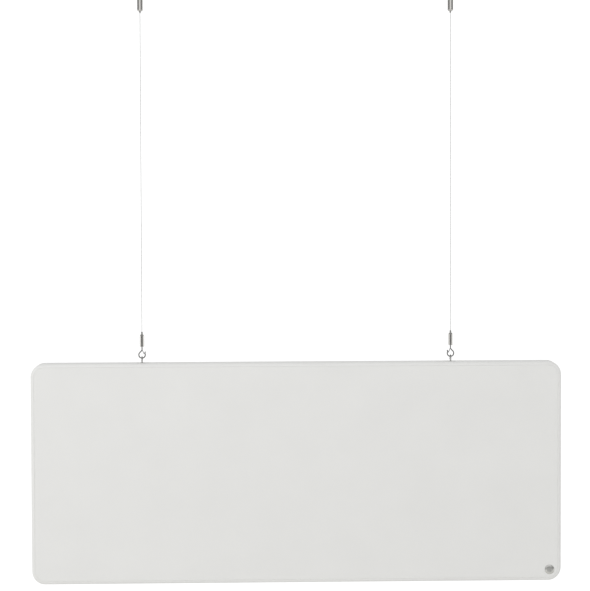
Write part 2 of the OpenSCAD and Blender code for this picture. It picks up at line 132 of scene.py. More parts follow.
class CoverSettings(bpy.types.PropertyGroup):
    """Fabric cover, wadding and acoustic cores."""

    corner: length_property("Corner radius", "Radius of the panel's corners", 30)
    edge: length_property("Edge radius", "Roundness of the covered edges", 8)
    cloth: length_property("Cloth thickness", "Thickness of the fabric", 0.9)
    thread: length_property("Thread spacing", "Distance between two threads of the weave", 0.8)
    seam_width: length_property("Seam width", "Half the width of the seam's groove", 1.1)
    seam_depth: length_property("Seam depth", "How far the cloth dips into the seam", 0.6)
    crown: length_property("Crown", "How far the wadding fills the faces", 0.5)
    ripple: length_property("Ripple", "Height of the faint unevenness of the wadding", 0.15)
    colour: colour_property("Cloth colour", "Pale warm grey of the fabric", "EDEDEB")


class RopeSettings(bpy.types.PropertyGroup):
    """Stranded wire ropes."""

    lay: length_property("Lay", "Length in which a strand goes once round the rope", 8)
    strands: bpy.props.IntProperty(
        name="Strands", description="Strands laid round the core", default=6, min=3
    )
    colour: colour_property("Steel colour", "Bright drawn stainless steel", "E6E7E6")


class GripperSettings(bpy.types.PropertyGroup):
    """Self-locking grippers at both ends of each rope."""

    taper: length_property("Taper", "Length of a barrel's tapered end", 3)
    mouth: length_property("Mouth", "Diameter of the tapered end at the mouth", 5.8)
    bore: length_property("Bore", "Diameter of a barrel's bore", 6.6)
    throat: length_property("Throat", "Diameter of the throat round the plunger", 4.2)
    throat_length: length_property("Throat length", "Straight part before the cone", 4)
    plunger: length_property("Plunger", "Diameter of the plunger's sleeve", 4)
    plunger_tip: length_property("Plunger tip", "Diameter of the sleeve at its tip", 3)
    rope_hole: length_property("Rope hole", "Diameter of the hole for the rope", 1.5)
    cone_angle: angle_property("Cone angle", "Half-angle of the locking cone", 11)
    colour: colour_property("Nickel colour", "Polished nickel plate", "E1DFDB")


class HookSettings(bpy.types.PropertyGroup):
    """Hooks bent from round wire, their gates and the eye screws."""

    wire: length_property("Hook wire", "Diameter of the hook's wire", 2.7)
    loop: length_property("Loop radius", "Radius of the loop, to the middle of its wire", 7.3)
    bend: length_property("Bend radius", "Radius of the bend under the stem", 3)
    lean: angle_property("Lean", "Angle of the straight from the stem to the loop", 44)
    mouth: angle_property("Mouth", "How far the loop rises past its widest point", 20)
    flare_angle: angle_property("Flare angle", "How far the tip turns outwards", 52)
    flare: length_property("Flare radius", "Radius of the flared tip", 4.5)
    gate_wire: length_property("Gate wire", "Diameter of the gate's spring wire", 1.2)
    eye_wire: length_property("Eye wire", "Diameter of the eye's ring section", 3)
    eye_shank: length_property("Eye shank", "Diameter over the eye screw's thread", 4)
    colour: colour_property("Steel colour", "Satin stainless steel", "9A9A98")
    eye_colour: colour_property("Eye colour", "Dull zinc plate of the eye screws", "DADAD8")


class BadgeSettings(bpy.types.PropertyGroup):
    """Bare metal badge in the lower right corner."""

    lip: length_property("Lip width", "Width of the thin lip round the dome", 0.8)
    colour: colour_property("Metal colour", "Spun, lacquered aluminium", "E4E4E0")


class FrameSettings(bpy.types.PropertyGroup):
    """Timber frame inside the panel."""

    ring_spacing: length_property("Ring spacing", "Distance between two growth rings", 3)
    early: colour_property("Early wood", "Pale early wood of pine", "E6C793")
    late: colour_property("Late wood", "Darker late wood of pine", "C79A5C")


class StudioSettings(bpy.types.PropertyGroup):
    """Camera, lights and floor."""

    distance: length_property("Camera distance", "From the camera to the panel's face", 3300)
    left: length_property("Camera place", "How far left of the middle the camera stands", 71)
    drop: length_property("Camera drop", "How far the camera is below the ceiling", 430)
    focal_length: bpy.props.FloatProperty(
        name="Focal length", description="In millimetres, for a 36 mm sensor", default=89.4
    )
    pitch: angle_property("Camera pitch", "How far the camera looks down", 1.62)
    yaw: angle_property("Camera yaw", "How far the camera looks to the right", 1.18)
    roll: angle_property("Camera roll", "Tilt that lifts the panel's right end", 0.19)
    crop: bpy.props.FloatProperty(
        name="Crop",
        description="How far the picture's middle lies below the lens axis, in picture heights",
        default=0.127,
    )
    room: length_property("Room height", "Distance from the ceiling to the floor", 2400)
    floor: length_property("Floor size", "Width and depth of the floor", 5200)
    floor_colour: colour_property("Floor colour", "Pale matt floor paint", "F2F1EE")


SETTINGS = {
    "panel_cover": CoverSettings,
    "panel_rope": RopeSettings,
    "panel_gripper": GripperSettings,
    "panel_hook": HookSettings,
    "panel_badge": BadgeSettings,
    "panel_frame": FrameSettings,
    "panel_studio": StudioSettings,
}


# Nodes and materials


def add(tree, kind, inputs=None, **settings):
    """A new node. Settings are its own properties, and inputs are what its sockets get.

    An input is a value, a socket, or a node, which stands for its first output.
    """
    made = tree.nodes.new(kind)
    for name, value in settings.items():
        setattr(made, name, value)
    for name, value in (inputs or {}).items():
        if isinstance(value, bpy.types.Node):
            value = value.outputs[0]
        if isinstance(value, bpy.types.NodeSocket):
            tree.links.new(value, made.inputs[name])
        else:
            made.inputs[name].default_value = value
    return made


def new_material(name, values):
    """A material with one Principled shader: the material, its tree and the shader."""
    made = bpy.data.materials.new(name)
    made.use_nodes = True
    tree = made.node_tree
    tree.nodes.clear()
    shader = add(tree, "ShaderNodeBsdfPrincipled", values)
    add(tree, "ShaderNodeOutputMaterial", {"Surface": shader.outputs[0]})
    return made, tree, shader


def rgba(colour):
    """A colour with full alpha."""
    return (*colour, 1)


def faded(colour, share):
    """A darker tone of a colour."""
    return [value * share for value in colour]


def dress(tree, shader, tones, gloss=None, relief=None):
    """Ends a material in its two tones, its range of roughness and its relief.

    tones is (pattern, colour, colour), gloss is (pattern, least, most roughness) and relief is
    (pattern, strength, height). Returns the socket that the colour comes from.
    """
    pattern, first, second = tones
    inputs = {"Factor": pattern, 6: rgba(first), 7: rgba(second)}
    shade = add(tree, "ShaderNodeMix", inputs, data_type="RGBA")
    tree.links.new(shade.outputs[2], shader.inputs["Base Color"])
    if gloss:
        pattern, least, most = gloss
        rough = add(tree, "ShaderNodeMapRange", {0: pattern, "To Min": least, "To Max": most})
        tree.links.new(rough.outputs[0], shader.inputs["Roughness"])
    if relief:
        pattern, strength, height = relief
        inputs = {"Height": pattern, "Strength": strength, "Distance": height}
        bump = add(tree, "ShaderNodeBump", inputs)
        tree.links.new(bump.outputs[0], shader.inputs["Normal"])
    return shade.outputs[2]


def woven_polyester(cover):
    """Plain-woven polyester: dull, with a low relief of crossing threads.

    The weave is drawn at its true size, which shows only from near.
    """
    dull = {"Roughness": 0.92, "Specular IOR Level": 0.3}
    sheen = {"Sheen Weight": 0.15, "Sheen Roughness": 0.5}
    made, tree, shader = new_material("woven_polyester", dull | sheen)
    cloth = add(tree, "ShaderNodeUVMap", uv_map=CLOTH_MAP)
    half_turn = math.pi / cover.thread
    angles = add(
        tree, "ShaderNodeVectorMath", {0: cloth, 1: (half_turn, half_turn, 0)}, operation="MULTIPLY"
    )
    waves = add(tree, "ShaderNodeVectorMath", {0: angles}, operation="SINE")
    across = add(tree, "ShaderNodeSeparateXYZ", {0: waves})
    # above 0 where a warp thread lies on top, below 0 where a weft thread does
    crossing = add(
        tree, "ShaderNodeMath", {0: across.outputs[0], 1: across.outputs[1]}, operation="MULTIPLY"
    )
    threads = {}
    for axis, sign in ((0, 0.5), (1, -0.5)):
        width = add(tree, "ShaderNodeMath", {0: across.outputs[axis]}, operation="ABSOLUTE")
        top = add(tree, "ShaderNodeMath", {0: width, 1: 0.5}, operation="POWER")
        wave = add(tree, "ShaderNodeMath", {0: crossing, 1: sign, 2: 0.5}, operation="MULTIPLY_ADD")
        threads[axis] = add(tree, "ShaderNodeMath", {0: top, 1: wave}, operation="MULTIPLY")
    weave = add(tree, "ShaderNodeMath", threads, operation="MAXIMUM")
    # fibres and slubs run along the weft
    along = add(tree, "ShaderNodeMapping", {0: cloth, "Scale": (60, 1200, 1)})
    fibres = add(tree, "ShaderNodeTexNoise", {"Vector": along, "Scale": 1, "Detail": 3})
    patches = add(tree, "ShaderNodeTexNoise", {"Vector": cloth, "Scale": 9, "Detail": 2})
    relief = add(tree, "ShaderNodeMath", {0: fibres, 1: 0.35, 2: weave}, operation="MULTIPLY_ADD")
    tone = add(tree, "ShaderNodeMath", {0: fibres, 1: 0.5, 2: patches}, operation="MULTIPLY_ADD")
    inputs = {0: tone, "From Min": 0.5, "From Max": 1.0, "To Min": 0.0, "To Max": 0.35}
    tint = add(tree, "ShaderNodeMapRange", inputs)
    tones = (tint, cover.colour, faded(cover.colour, 0.93))
    dye = dress(tree, shader, tones, relief=(relief, 0.6, 0.25 * MM))
    # painted shade: the gaps between the threads are darkened, where light falls short
    inputs = {0: weave, "From Min": 0.2, "From Max": 0.6, "To Min": 0.88, "To Max": 1.0}
    gap_shade = add(tree, "ShaderNodeMapRange", inputs)
    inputs = {"Factor": 1.0, 6: dye, 7: gap_shade}
    shaded = add(tree, "ShaderNodeMix", inputs, data_type="RGBA", blend_type="MULTIPLY")
    tree.links.new(shaded.outputs[2], shader.inputs["Base Color"])
    return made


def matted_fibre(name, pale, dark, fibre, relief):
    """Matted fibres, such as polyester wadding or pressed felt: dull, with short curved strands."""
    made, tree, shader = new_material(name, {"Roughness": 0.95, "Specular IOR Level": 0.2})
    place = add(tree, "ShaderNodeTexCoord").outputs["Object"]
    warp = add(tree, "ShaderNodeTexNoise", {"Vector": place, "Scale": 0.15 / fibre, "Detail": 2})
    inputs = {0: warp.outputs["Color"], 1: (8 * fibre,) * 3, 2: place}
    bent = add(tree, "ShaderNodeVectorMath", inputs, operation="MULTIPLY_ADD")
    inputs = {"Vector": bent, "Scale": 1 / fibre, "Detail": 4, "Roughness": 0.65}
    strands = add(tree, "ShaderNodeTexNoise", inputs)
    dress(tree, shader, (strands, linear(dark), linear(pale)), relief=(strands, 0.7, relief))
    return made


def planed_pine(name, timber, upright):
    """Planed pine: growth rings cut lengthwise into long pale and dark streaks, satin."""
    made, tree, shader = new_material(name, {"Specular IOR Level": 0.4})
    place = add(tree, "ShaderNodeTexCoord").outputs["Object"]
    turn = (0, 0, 0) if upright else (0, math.radians(90), 0)
    grain = add(tree, "ShaderNodeMapping", {0: place, "Rotation": turn, "Scale": (1, 1, 0.06)})
    sway = add(tree, "ShaderNodeTexNoise", {"Vector": grain, "Scale": 25, "Detail": 2})
    inputs = {0: sway.outputs["Color"], 1: (6 * MM,) * 3, 2: grain}
    bent = add(tree, "ShaderNodeVectorMath", inputs, operation="MULTIPLY_ADD")
    rings = add(
        tree,
        "ShaderNodeTexWave",
        {"Vector": bent, "Scale": 0.3 / timber.ring_spacing, "Distortion": 1.5},
        wave_type="RINGS",
        rings_direction="Z",
        wave_profile="SAW",
    )
    pores = add(tree, "ShaderNodeTexNoise", {"Vector": grain, "Scale": 900, "Detail": 3})
    tones = (rings.outputs[1], timber.early, timber.late)
    dress(tree, shader, tones, (pores, 0.5, 0.7), (pores, 0.3, 0.05 * MM))
    return made


def turned_metal(name, colour, roughness, line_height, grain):
    """Metal turned on a lathe and polished or plated: fine rings round it, soft handling marks."""
    made, tree, shader = new_material(name, {"Metallic": 1.0})
    place = add(tree, "ShaderNodeTexCoord").outputs["Object"]
    height = add(tree, "ShaderNodeMapping", {0: place, "Scale": (0.02, 0.02, 1)})
    rings = add(tree, "ShaderNodeTexNoise", {"Vector": height, "Scale": 1 / grain, "Detail": 2})
    marks = add(
        tree, "ShaderNodeTexNoise", {"Vector": place, "Scale": 700, "Detail": 4, "Roughness": 0.7}
    )
    gloss = (marks, roughness * 0.75, roughness * 1.3)
    dress(tree, shader, (marks, colour, faded(colour, 0.9)), gloss, (rings, 0.25, line_height))
    return made


def drawn_wire(name, colour, roughness):
    """Steel wire drawn through a die: satin, with soft stains and tiny pits."""
    made, tree, shader = new_material(name, {"Metallic": 1.0})
    place = add(tree, "ShaderNodeTexCoord").outputs["Object"]
    stains = add(
        tree, "ShaderNodeTexNoise", {"Vector": place, "Scale": 260, "Detail": 5, "Roughness": 0.6}
    )
    pits = add(tree, "ShaderNodeTexNoise", {"Vector": place, "Scale": 3500, "Detail": 2})
    gloss = (stains, roughness * 0.8, roughness * 1.25)
    dress(tree, shader, (stains, colour, faded(colour, 0.82)), gloss, (pits, 0.3, 0.02 * MM))
    return made


def spun_aluminium(colour, centre):
    """Spun aluminium under matt lacquer: rings of fine grooves round the badge's centre."""
    made, tree, shader = new_material("spun_aluminium", {"Metallic": 1.0})
    place = add(tree, "ShaderNodeTexCoord").outputs["Object"]
    middle = add(tree, "ShaderNodeMapping", {0: place, "Location": tuple(-centre)})
    out = add(tree, "ShaderNodeVectorMath", {0: middle, 1: (1, 0, 1)}, operation="MULTIPLY")
    radius = add(tree, "ShaderNodeVectorMath", {0: out}, operation="LENGTH")
    inputs = {"W": radius.outputs["Value"], "Scale": 6000, "Detail": 3}
    grooves = add(tree, "ShaderNodeTexNoise", inputs, noise_dimensions="1D")
    tones = (grooves, colour, faded(colour, 0.8))
    dress(tree, shader, tones, (grooves, 0.2, 0.32), (grooves, 0.4, 0.03 * MM))
    return made


def material(name):
    """The named material, made when it is first asked for."""
    if name in bpy.data.materials:
        return bpy.data.materials[name]
    scene = bpy.context.scene
    makers = {
        "woven_polyester": lambda: woven_polyester(scene.panel_cover),
        "polyester_wadding": lambda: matted_fibre(name, "F4F4EF", "DCDCD4", 0.6 * MM, 0.6 * MM),
        "mineral_felt": lambda: matted_fibre(name, "B9B296", "8B8468", 0.4 * MM, 0.3 * MM),
        "pine_rails": lambda: planed_pine(name, scene.panel_frame, False),
        "pine_stiles": lambda: planed_pine(name, scene.panel_frame, True),
        "polished_nickel": lambda: turned_metal(
            name, tuple(scene.panel_gripper.colour), 0.16, 0.004 * MM, 0.3 * MM
        ),
        "turned_steel": lambda: turned_metal(name, linear("B4B4B1"), 0.26, 0.01 * MM, 0.2 * MM),
        "stainless_wire": lambda: drawn_wire(name, tuple(scene.panel_hook.colour), 0.3),
        "zinc_plate": lambda: drawn_wire(name, tuple(scene.panel_hook.eye_colour), 0.45),
        "spring_steel": lambda: drawn_wire(name, linear("A9AAA8"), 0.22),
        "rope_steel": lambda: drawn_wire(name, tuple(scene.panel_rope.colour), 0.3),
        "spun_aluminium": lambda: spun_aluminium(
            tuple(scene.panel_badge.colour), sum(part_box("badge"), Vector()) / 2
        ),
    }
    return makers[name]()


# Meshes


def softened(corners):
    """A closed outline whose corners are rounded: each corner is its two places and a radius."""
    # most is the share of a side that a rounding may take, so that two never meet
    out, steps, most = [], 5, 0.49
    for i, (x, y, radius) in enumerate(corners):
        here = Vector((x, y))
        before = Vector(corners[i - 1][:2]) - here
        after = Vector(corners[(i + 1) % len(corners)][:2]) - here
        opening = before.angle(after)
        if radius <= 0 or abs(opening - math.pi) < 1e-4:
            out.append((x, y))
            continue
        reach = min(radius / math.tan(opening / 2), most * before.length, most * after.length)
        radius = reach * math.tan(opening / 2)
        centre = here + (before.normalized() + after.normalized()).normalized() * (
            radius / math.sin(opening / 2)
        )
        first = here + before.normalized() * reach - centre
        last = here + after.normalized() * reach - centre
        swing = first.angle_signed(last)
        for k in range(steps + 1):
            turned_by = Matrix.Rotation(-swing * k / steps, 2)
            out.append(tuple(centre + turned_by @ first))
    return out


def turned(corners, sides=72, flutes=None):
    """A solid turned about Z from a closed outline of (radius, height, rounding) corners.

    Long straights get a ring near each end, which keeps their shading straight.
    flutes, if given, is (lowest, highest, count, depth) of grip flutes cut along the side.
    """
    long_straight, margin = 1 * MM, 0.1 * MM
    widest = max(corner[0] for corner in corners)
    outline, rounded = [], softened(corners)
    for here, after in zip(rounded, rounded[1:] + rounded[:1]):
        outline.append(here)
        run = Vector(after) - Vector(here)
        if run.length > long_straight:
            step = run.normalized() * margin
            outline += [tuple(Vector(here) + step), tuple(Vector(after) - step)]
    verts, rings = [], []
    for r, z in outline:
        if r < TINY:
            rings.append([len(verts)] * sides)
            verts.append((0, 0, z))
            continue
        rings.append(list(range(len(verts), len(verts) + sides)))
        for k in range(sides):
            angle = 2 * math.pi * k / sides
            out = r
            if flutes and flutes[0] < z < flutes[1] and r > widest - 0.01 * MM:
                out -= flutes[3] * (0.5 + 0.5 * math.cos(angle * flutes[2]))
            verts.append((out * math.cos(angle), out * math.sin(angle), z))
    faces = []
    for a, b in zip(rings, rings[1:] + rings[:1]):
        for k in range(sides):
            m = (k + 1) % sides
            corner = list(dict.fromkeys((a[k], a[m], b[m], b[k])))
            if len(corner) > 2:
                faces.append(corner)
    return verts, faces


def joined(rings, count, closed=False):
    """Faces that join this many rings, of count points each, into a tube."""
    faces = []
    for i in range(rings if closed else rings - 1):
        a, b = i * count, (i + 1) % rings * count
        for k in range(count):
            m = (k + 1) % count
            faces.append((a + k, a + m, b + m, b + k))
    return faces


def swept(line, radius, sides, closed=False):
    """Round wire along a line of points, with round ends unless the line is closed."""
    line = [Vector(p) for p in line]
    count = len(line)
    if closed:
        ways = [(line[(i + 1) % count] - line[i - 1]).normalized() for i in range(count)]
    else:
        ways = [
            (line[min(i + 1, count - 1)] - line[max(i - 1, 0)]).normalized() for i in range(count)
        ]
    out = ways[0].orthogonal().normalized()
    rings = []
    for i, way in enumerate(ways):
        if i:
            out = (ways[i - 1].rotation_difference(way) @ out).normalized()
        rings.append((line[i], way, out, radius))
    if not closed:
        cap = [math.radians(a) for a in (80, 60, 40, 20)]
        start, end = rings[0], rings[-1]
        first = [
            (start[0] - start[1] * radius * math.sin(a), start[1], start[2], radius * math.cos(a))
            for a in cap
        ]
        last = [
            (end[0] + end[1] * radius * math.sin(a), end[1], end[2], radius * math.cos(a))
            for a in reversed(cap)
        ]
        rings = first + rings + last
    verts = []
    for centre, way, out, r in rings:
        side = way.cross(out)
        for k in range(sides):
            angle = 2 * math.pi * k / sides
            verts.append(tuple(centre + (out * math.cos(angle) + side * math.sin(angle)) * r))
    faces = joined(len(rings), sides, closed)
    if not closed:
        faces.append(tuple(range(sides)))
        faces.append(tuple(range(len(verts) - sides, len(verts))))
    return verts, faces


def bent_line(start, heading, steps):
    """Points along a wire bent in the XZ plane: steps are (length, None) or (radius, angle)."""
    place, arc = Vector((start[0], 0, start[1])), math.radians(7)
    points = [place.copy()]
    for size, angle in steps:
        if angle is None:
            place = place + Vector((math.cos(heading), 0, math.sin(heading))) * size
            points.append(place.copy())
            continue
        pieces = max(2, round(abs(angle) / arc))
        chord = 2 * size * math.sin(abs(angle) / pieces / 2)
        for _ in range(pieces):
            heading += angle / pieces / 2
            place = place + Vector((math.cos(heading), 0, math.sin(heading))) * chord
            heading += angle / pieces / 2
            points.append(place.copy())
    return points


def threaded(radius, depth, pitch, top, bottom, plain, point):
    """A screw's shank: plain at the top, then a rising thread, then a point at the bottom."""
    sides, rows_a_turn, blunt = 24, 8, 0.04
    rows = max(rows_a_turn, round((top - bottom) / pitch * rows_a_turn))
    verts = []
    for i in range(rows + 1):
        z = top + (bottom - top) * i / rows
        start = min(1, max(0, (top - plain - z) / pitch))
        tip = min(1, max(blunt, (z - bottom) / point))
        for k in range(sides):
            phase = (z / pitch + k / sides) % 1
            ridge = max(0, 1 - abs(phase - 0.5) * 4)
            groove = start * depth * (1 - ridge)
            r = (radius - groove) * tip
            angle = 2 * math.pi * k / sides
            verts.append((r * math.cos(angle), r * math.sin(angle), z))
    ends = [tuple(range(sides)), tuple(range(rows * sides, (rows + 1) * sides))]
    return verts, ends + joined(rows + 1, sides)


def outline_points(width, height, radius):
    """Points round a rectangle with round corners, in the XZ plane."""
    x, z = width / 2 - radius, height / 2 - radius
    centres = [(x, z), (-x, z), (-x, -z), (x, -z)]
    points = []
    for i, (cx, cz) in enumerate(centres):
        for k in range(CORNER_STEPS + 1):
            angle = math.pi / 2 * (i + k / CORNER_STEPS)
            points.append((cx + radius * math.cos(angle), cz + radius * math.sin(angle)))
        angle = math.pi / 2 * (i + 1)
        ends = [
            (px + radius * math.cos(angle), pz + radius * math.sin(angle))
            for px, pz in ((cx, cz), centres[(i + 1) % 4])
        ]
        for k in range(1, SIDE_STEPS[i % 2]):
            t = k / SIDE_STEPS[i % 2]
            points.append(tuple(a + (b - a) * t for a, b in zip(*ends)))
    return points


def ringed(size, corner, profile, centre, fill_first, fill_last, relief=None):
    """Rings that follow a round-cornered outline, one for each (inset, depth) of the profile.

    Returns vertices, faces, and each face's corner places in the cloth: how far along the
    outline and how far along the profile.
    """
    verts, crossed, least = [], [0], 0.5 * MM
    for i, (inset, depth) in enumerate(profile):
        wide, tall = size[0] - 2 * inset, size[1] - 2 * inset
        for x, z in outline_points(wide, tall, max(corner - inset, least)):
            lift = relief(x, depth, z) if relief else 0
            verts.append((x + centre.x, depth + lift + centre.y, z + centre.z))
        if i:
            step = (inset - profile[i - 1][0], depth - profile[i - 1][1])
            crossed.append(crossed[-1] + math.hypot(*step))
    flat = outline_points(size[0], size[1], corner)
    run = [0.0]
    for a, b in zip(flat, flat[1:] + flat[:1]):
        run.append(run[-1] + math.dist(a, b))
    count = len(flat)
    faces = joined(len(profile), count)
    cloth = [
        [(run[k], near), (run[k + 1], near), (run[k + 1], far), (run[k], far)]
        for near, far in zip(crossed, crossed[1:])
        for k in range(count)
    ]
    for wanted, first in ((fill_first, 0), (fill_last, (len(profile) - 1) * count)):
        if wanted:
            faces.append(tuple(range(first, first + count)))
            cloth.append([(0, 0)] * count)
    return verts, faces, cloth


def mesh_of(name, verts, faces, place=None):
    """A closed mesh with its faces pointing outwards."""
    mesh = bpy.data.meshes.new(name)
    mesh.from_pydata(verts, [], faces)
    if place is not None:
        mesh.transform(place)
    work = bmesh.new()
    work.from_mesh(mesh)
    bmesh.ops.remove_doubles(work, verts=work.verts, dist=TINY)
    bmesh.ops.recalc_face_normals(work, faces=work.faces)
    work.to_mesh(mesh)
    work.free()
    return mesh


def boolean(name, first, others, operation):
    """The first mesh with the others added to it or cut from it, as a new mesh."""
    base = bpy.data.objects.new(name, first)
    bpy.context.collection.objects.link(base)
    tools = []
    for other in others:
        tool = bpy.data.objects.new(name + "_tool", other)
        bpy.context.collection.objects.link(tool)
        tools.append(tool)
        modifier = base.modifiers.new("cut", "BOOLEAN")
        modifier.operation = operation
        modifier.solver = "EXACT"
        modifier.object = tool
    result = plain_mesh(base)
    for thing in [base, *tools]:
        bpy.data.objects.remove(thing)
    result.name = name
    return result


def plain_mesh(thing):
    """What an object's modifiers make of it, as a plain mesh."""
    bpy.context.view_layer.update()
    graph = bpy.context.evaluated_depsgraph_get()
    return bpy.data.meshes.new_from_object(thing.evaluated_get(graph))


def piece(name, mesh, look, body, nodes, sharp=35):
    """A finished piece: its object, material, body, CAD nodes and material slot."""
    made = bpy.data.objects.new(name, mesh)
    bpy.context.collection.objects.link(made)
    mesh.materials.clear()
    mesh.materials.append(material(look))
    mesh.shade_smooth()
    mesh.set_sharp_from_angle(angle=math.radians(sharp))
    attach(made, body)
    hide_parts(*nodes)
    return made


def side_place(side, height=0.0, nose_up=False):
    """Where a fitting modelled on the Z axis goes: the right ones are turned half round."""
    low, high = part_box(f"{side}_wire")
    place = Matrix.Translation(((low.x + high.x) / 2, 0, height))
    if side == "right":
        place = place @ Matrix.Rotation(math.pi, 4, "Z")
    if nose_up:
        place = place @ Matrix.Rotation(math.pi, 4, "X")
    return place


def turned_piece(node, part, place, corners, look, body, sides=72, sharp=35, flutes=None):
    """A turned solid that stands for a CAD node."""
    name = f"{node}_{part}"
    mesh = mesh_of(name, *turned(corners, sides, flutes), place)
    piece(name, mesh, look, body, [node], sharp)


# Geometry Nodes


def new_node_tree(name, sizes):
    """A geometry tree with named inputs: the tree and its Group Input node."""
    tree = bpy.data.node_groups.new(name, "GeometryNodeTree")
    tree.interface.new_socket("Geometry", in_out="INPUT", socket_type="NodeSocketGeometry")
    tree.interface.new_socket("Geometry", in_out="OUTPUT", socket_type="NodeSocketGeometry")
    for label, value in sizes.items():
        kind = "NodeSocketInt" if isinstance(value, int) else "NodeSocketFloat"
        socket = tree.interface.new_socket(label, in_out="INPUT", socket_type=kind)
        socket.default_value = value
    return tree, add(tree, "NodeGroupInput")


def end_node_tree(tree, geometry, look):
    """Ends a geometry tree in Realize Instances and Set Material."""
    real = add(tree, "GeometryNodeRealizeInstances", {0: geometry})
    painted = add(tree, "GeometryNodeSetMaterial", {0: real.outputs[0], "Material": material(look)})
    add(tree, "NodeGroupOutput", {0: painted.outputs[0]})


def grown(tree, name, sizes, seed_mesh=None):
    """The mesh that a geometry tree makes with these sizes."""
    thing = bpy.data.objects.new(name, seed_mesh or bpy.data.meshes.new(name))
    bpy.context.collection.objects.link(thing)
    modifier = thing.modifiers.new(name, "NODES")
    modifier.node_group = tree
    for socket in tree.interface.items_tree:
        if socket.in_out == "INPUT" and socket.name in sizes:
            modifier[socket.identifier] = sizes[socket.name]
    mesh = plain_mesh(thing)
    bpy.data.objects.remove(thing)
    mesh.name = name
    return mesh


def rope_tree(rope):
    """A rope hanging from the origin: a profile of round strands swept down and twisted."""
    sizes = {"Length": 0.7, "Diameter": 0.0012, "Lay": rope.lay, "Start": 0.0, "Strands": 6}
    tree, given = new_node_tree("wire_rope", sizes)
    spline = add(tree, "GeometryNodeSplineParameter")
    values = {socket.name: socket for socket in given.outputs}
    values |= {"down the rope": spline.outputs["Length"], "round it": spline.outputs["Factor"]}
    # The first rows twist the rope, with 18 rings to a lay and 6 points to a strand. The others
    # are the outside of round strands, each a third of the rope across. With a radius a and a
    # middle c off the rope's, that is c cos t + sqrt(a2 - c2 sin2 t).
    formulas = (
        ("end", "MULTIPLY", "Length", -1),
        ("step", "DIVIDE", "Lay", 18),
        ("total", "ADD", "down the rope", "Start"),
        ("turns", "DIVIDE", "total", "Lay"),
        ("tilt", "MULTIPLY", "turns", 2 * math.pi),
        ("points", "MULTIPLY", "Strands", 6),
        ("full", "MULTIPLY", "round it", 2 * math.pi),
        ("half", "DIVIDE", math.pi, "Strands"),
        ("t", "PINGPONG", "full", "half"),
        ("sine", "SINE", "t"),
        ("cosine", "COSINE", "t"),
        ("off", "MULTIPLY", "sine", 2 / 3),
        ("off squared", "MULTIPLY", "off", "off"),
        ("left", "SUBTRACT", 1 / 9, "off squared"),
        ("above 0", "MAXIMUM", "left", 0.0),
        ("root", "SQRT", "above 0"),
        ("reach", "MULTIPLY_ADD", "cosine", 2 / 3, "root"),
        ("radius", "MULTIPLY", "Diameter", 0.5),
        ("size", "MULTIPLY", "reach", "radius"),
    )
    for name, operation, *terms in formulas:
        inputs = {i: values.get(term, term) for i, term in enumerate(terms)}
        values[name] = add(tree, "ShaderNodeMath", inputs, operation=operation)
    end = add(tree, "ShaderNodeCombineXYZ", {"Z": values["end"]})
    line = add(
        tree, "GeometryNodeCurvePrimitiveLine", {"Start": (0, 0, 0), "End": end}, mode="POINTS"
    )
    fine = add(
        tree, "GeometryNodeResampleCurve", {"Curve": line, "Length": values["step"]}, mode="LENGTH"
    )
    laid = add(tree, "GeometryNodeSetCurveTilt", {"Curve": fine, "Tilt": values["tilt"]})
    inputs = {"Resolution": values["points"], "Radius": 1.0}
    circle = add(tree, "GeometryNodeCurvePrimitiveCircle", inputs, mode="RADIUS")
    inputs = {0: add(tree, "GeometryNodeInputPosition"), "Scale": values["size"]}
    moved = add(tree, "ShaderNodeVectorMath", inputs, operation="SCALE")
    lobes = add(tree, "GeometryNodeSetPosition", {"Geometry": circle, "Position": moved})
    inputs = {"Curve": laid, "Profile Curve": lobes, "Fill Caps": True}
    body = add(tree, "GeometryNodeCurveToMesh", inputs)
    end_node_tree(tree, body, "rope_steel")
    return tree


def spring_tree():
    """A helical compression spring that stands on the origin."""
    sizes = {"Height": 0.01, "Coil Radius": 0.0025, "Wire Radius": 0.0003, "Turns": SPRING_TURNS}
    tree, given = new_node_tree("coil_spring", sizes)
    radius = given.outputs["Coil Radius"]
    inputs = {"Resolution": 36, "Rotations": given.outputs["Turns"]}
    inputs |= {"Start Radius": radius, "End Radius": radius, "Height": given.outputs["Height"]}
    coil = add(tree, "GeometryNodeCurveSpiral", inputs)
    inputs = {"Resolution": 12, "Radius": given.outputs["Wire Radius"]}
    section = add(tree, "GeometryNodeCurvePrimitiveCircle", inputs, mode="RADIUS")
    inputs = {"Curve": coil, "Profile Curve": section, "Fill Caps": True}
    body = add(tree, "GeometryNodeCurveToMesh", inputs)
    end_node_tree(tree, body, "spring_steel")
    return tree


def ball_tree():
    """The locking balls of one gripper, evenly round the rope."""
    sizes = {"Circle": 0.0016, "Ball Radius": 0.001, "Balls": BALLS}
    tree, given = new_node_tree("locking_balls", sizes)
    inputs = {"Vertices": given.outputs["Balls"], "Radius": given.outputs["Circle"]}
    places = add(tree, "GeometryNodeMeshCircle", inputs)
    inputs = {"Segments": 32, "Rings": 16, "Radius": given.outputs["Ball Radius"]}
    ball = add(tree, "GeometryNodeMeshUVSphere", inputs)
    balls = add(tree, "GeometryNodeInstanceOnPoints", {"Points": places, "Instance": ball})
    end_node_tree(tree, balls, "spring_steel")
    return tree


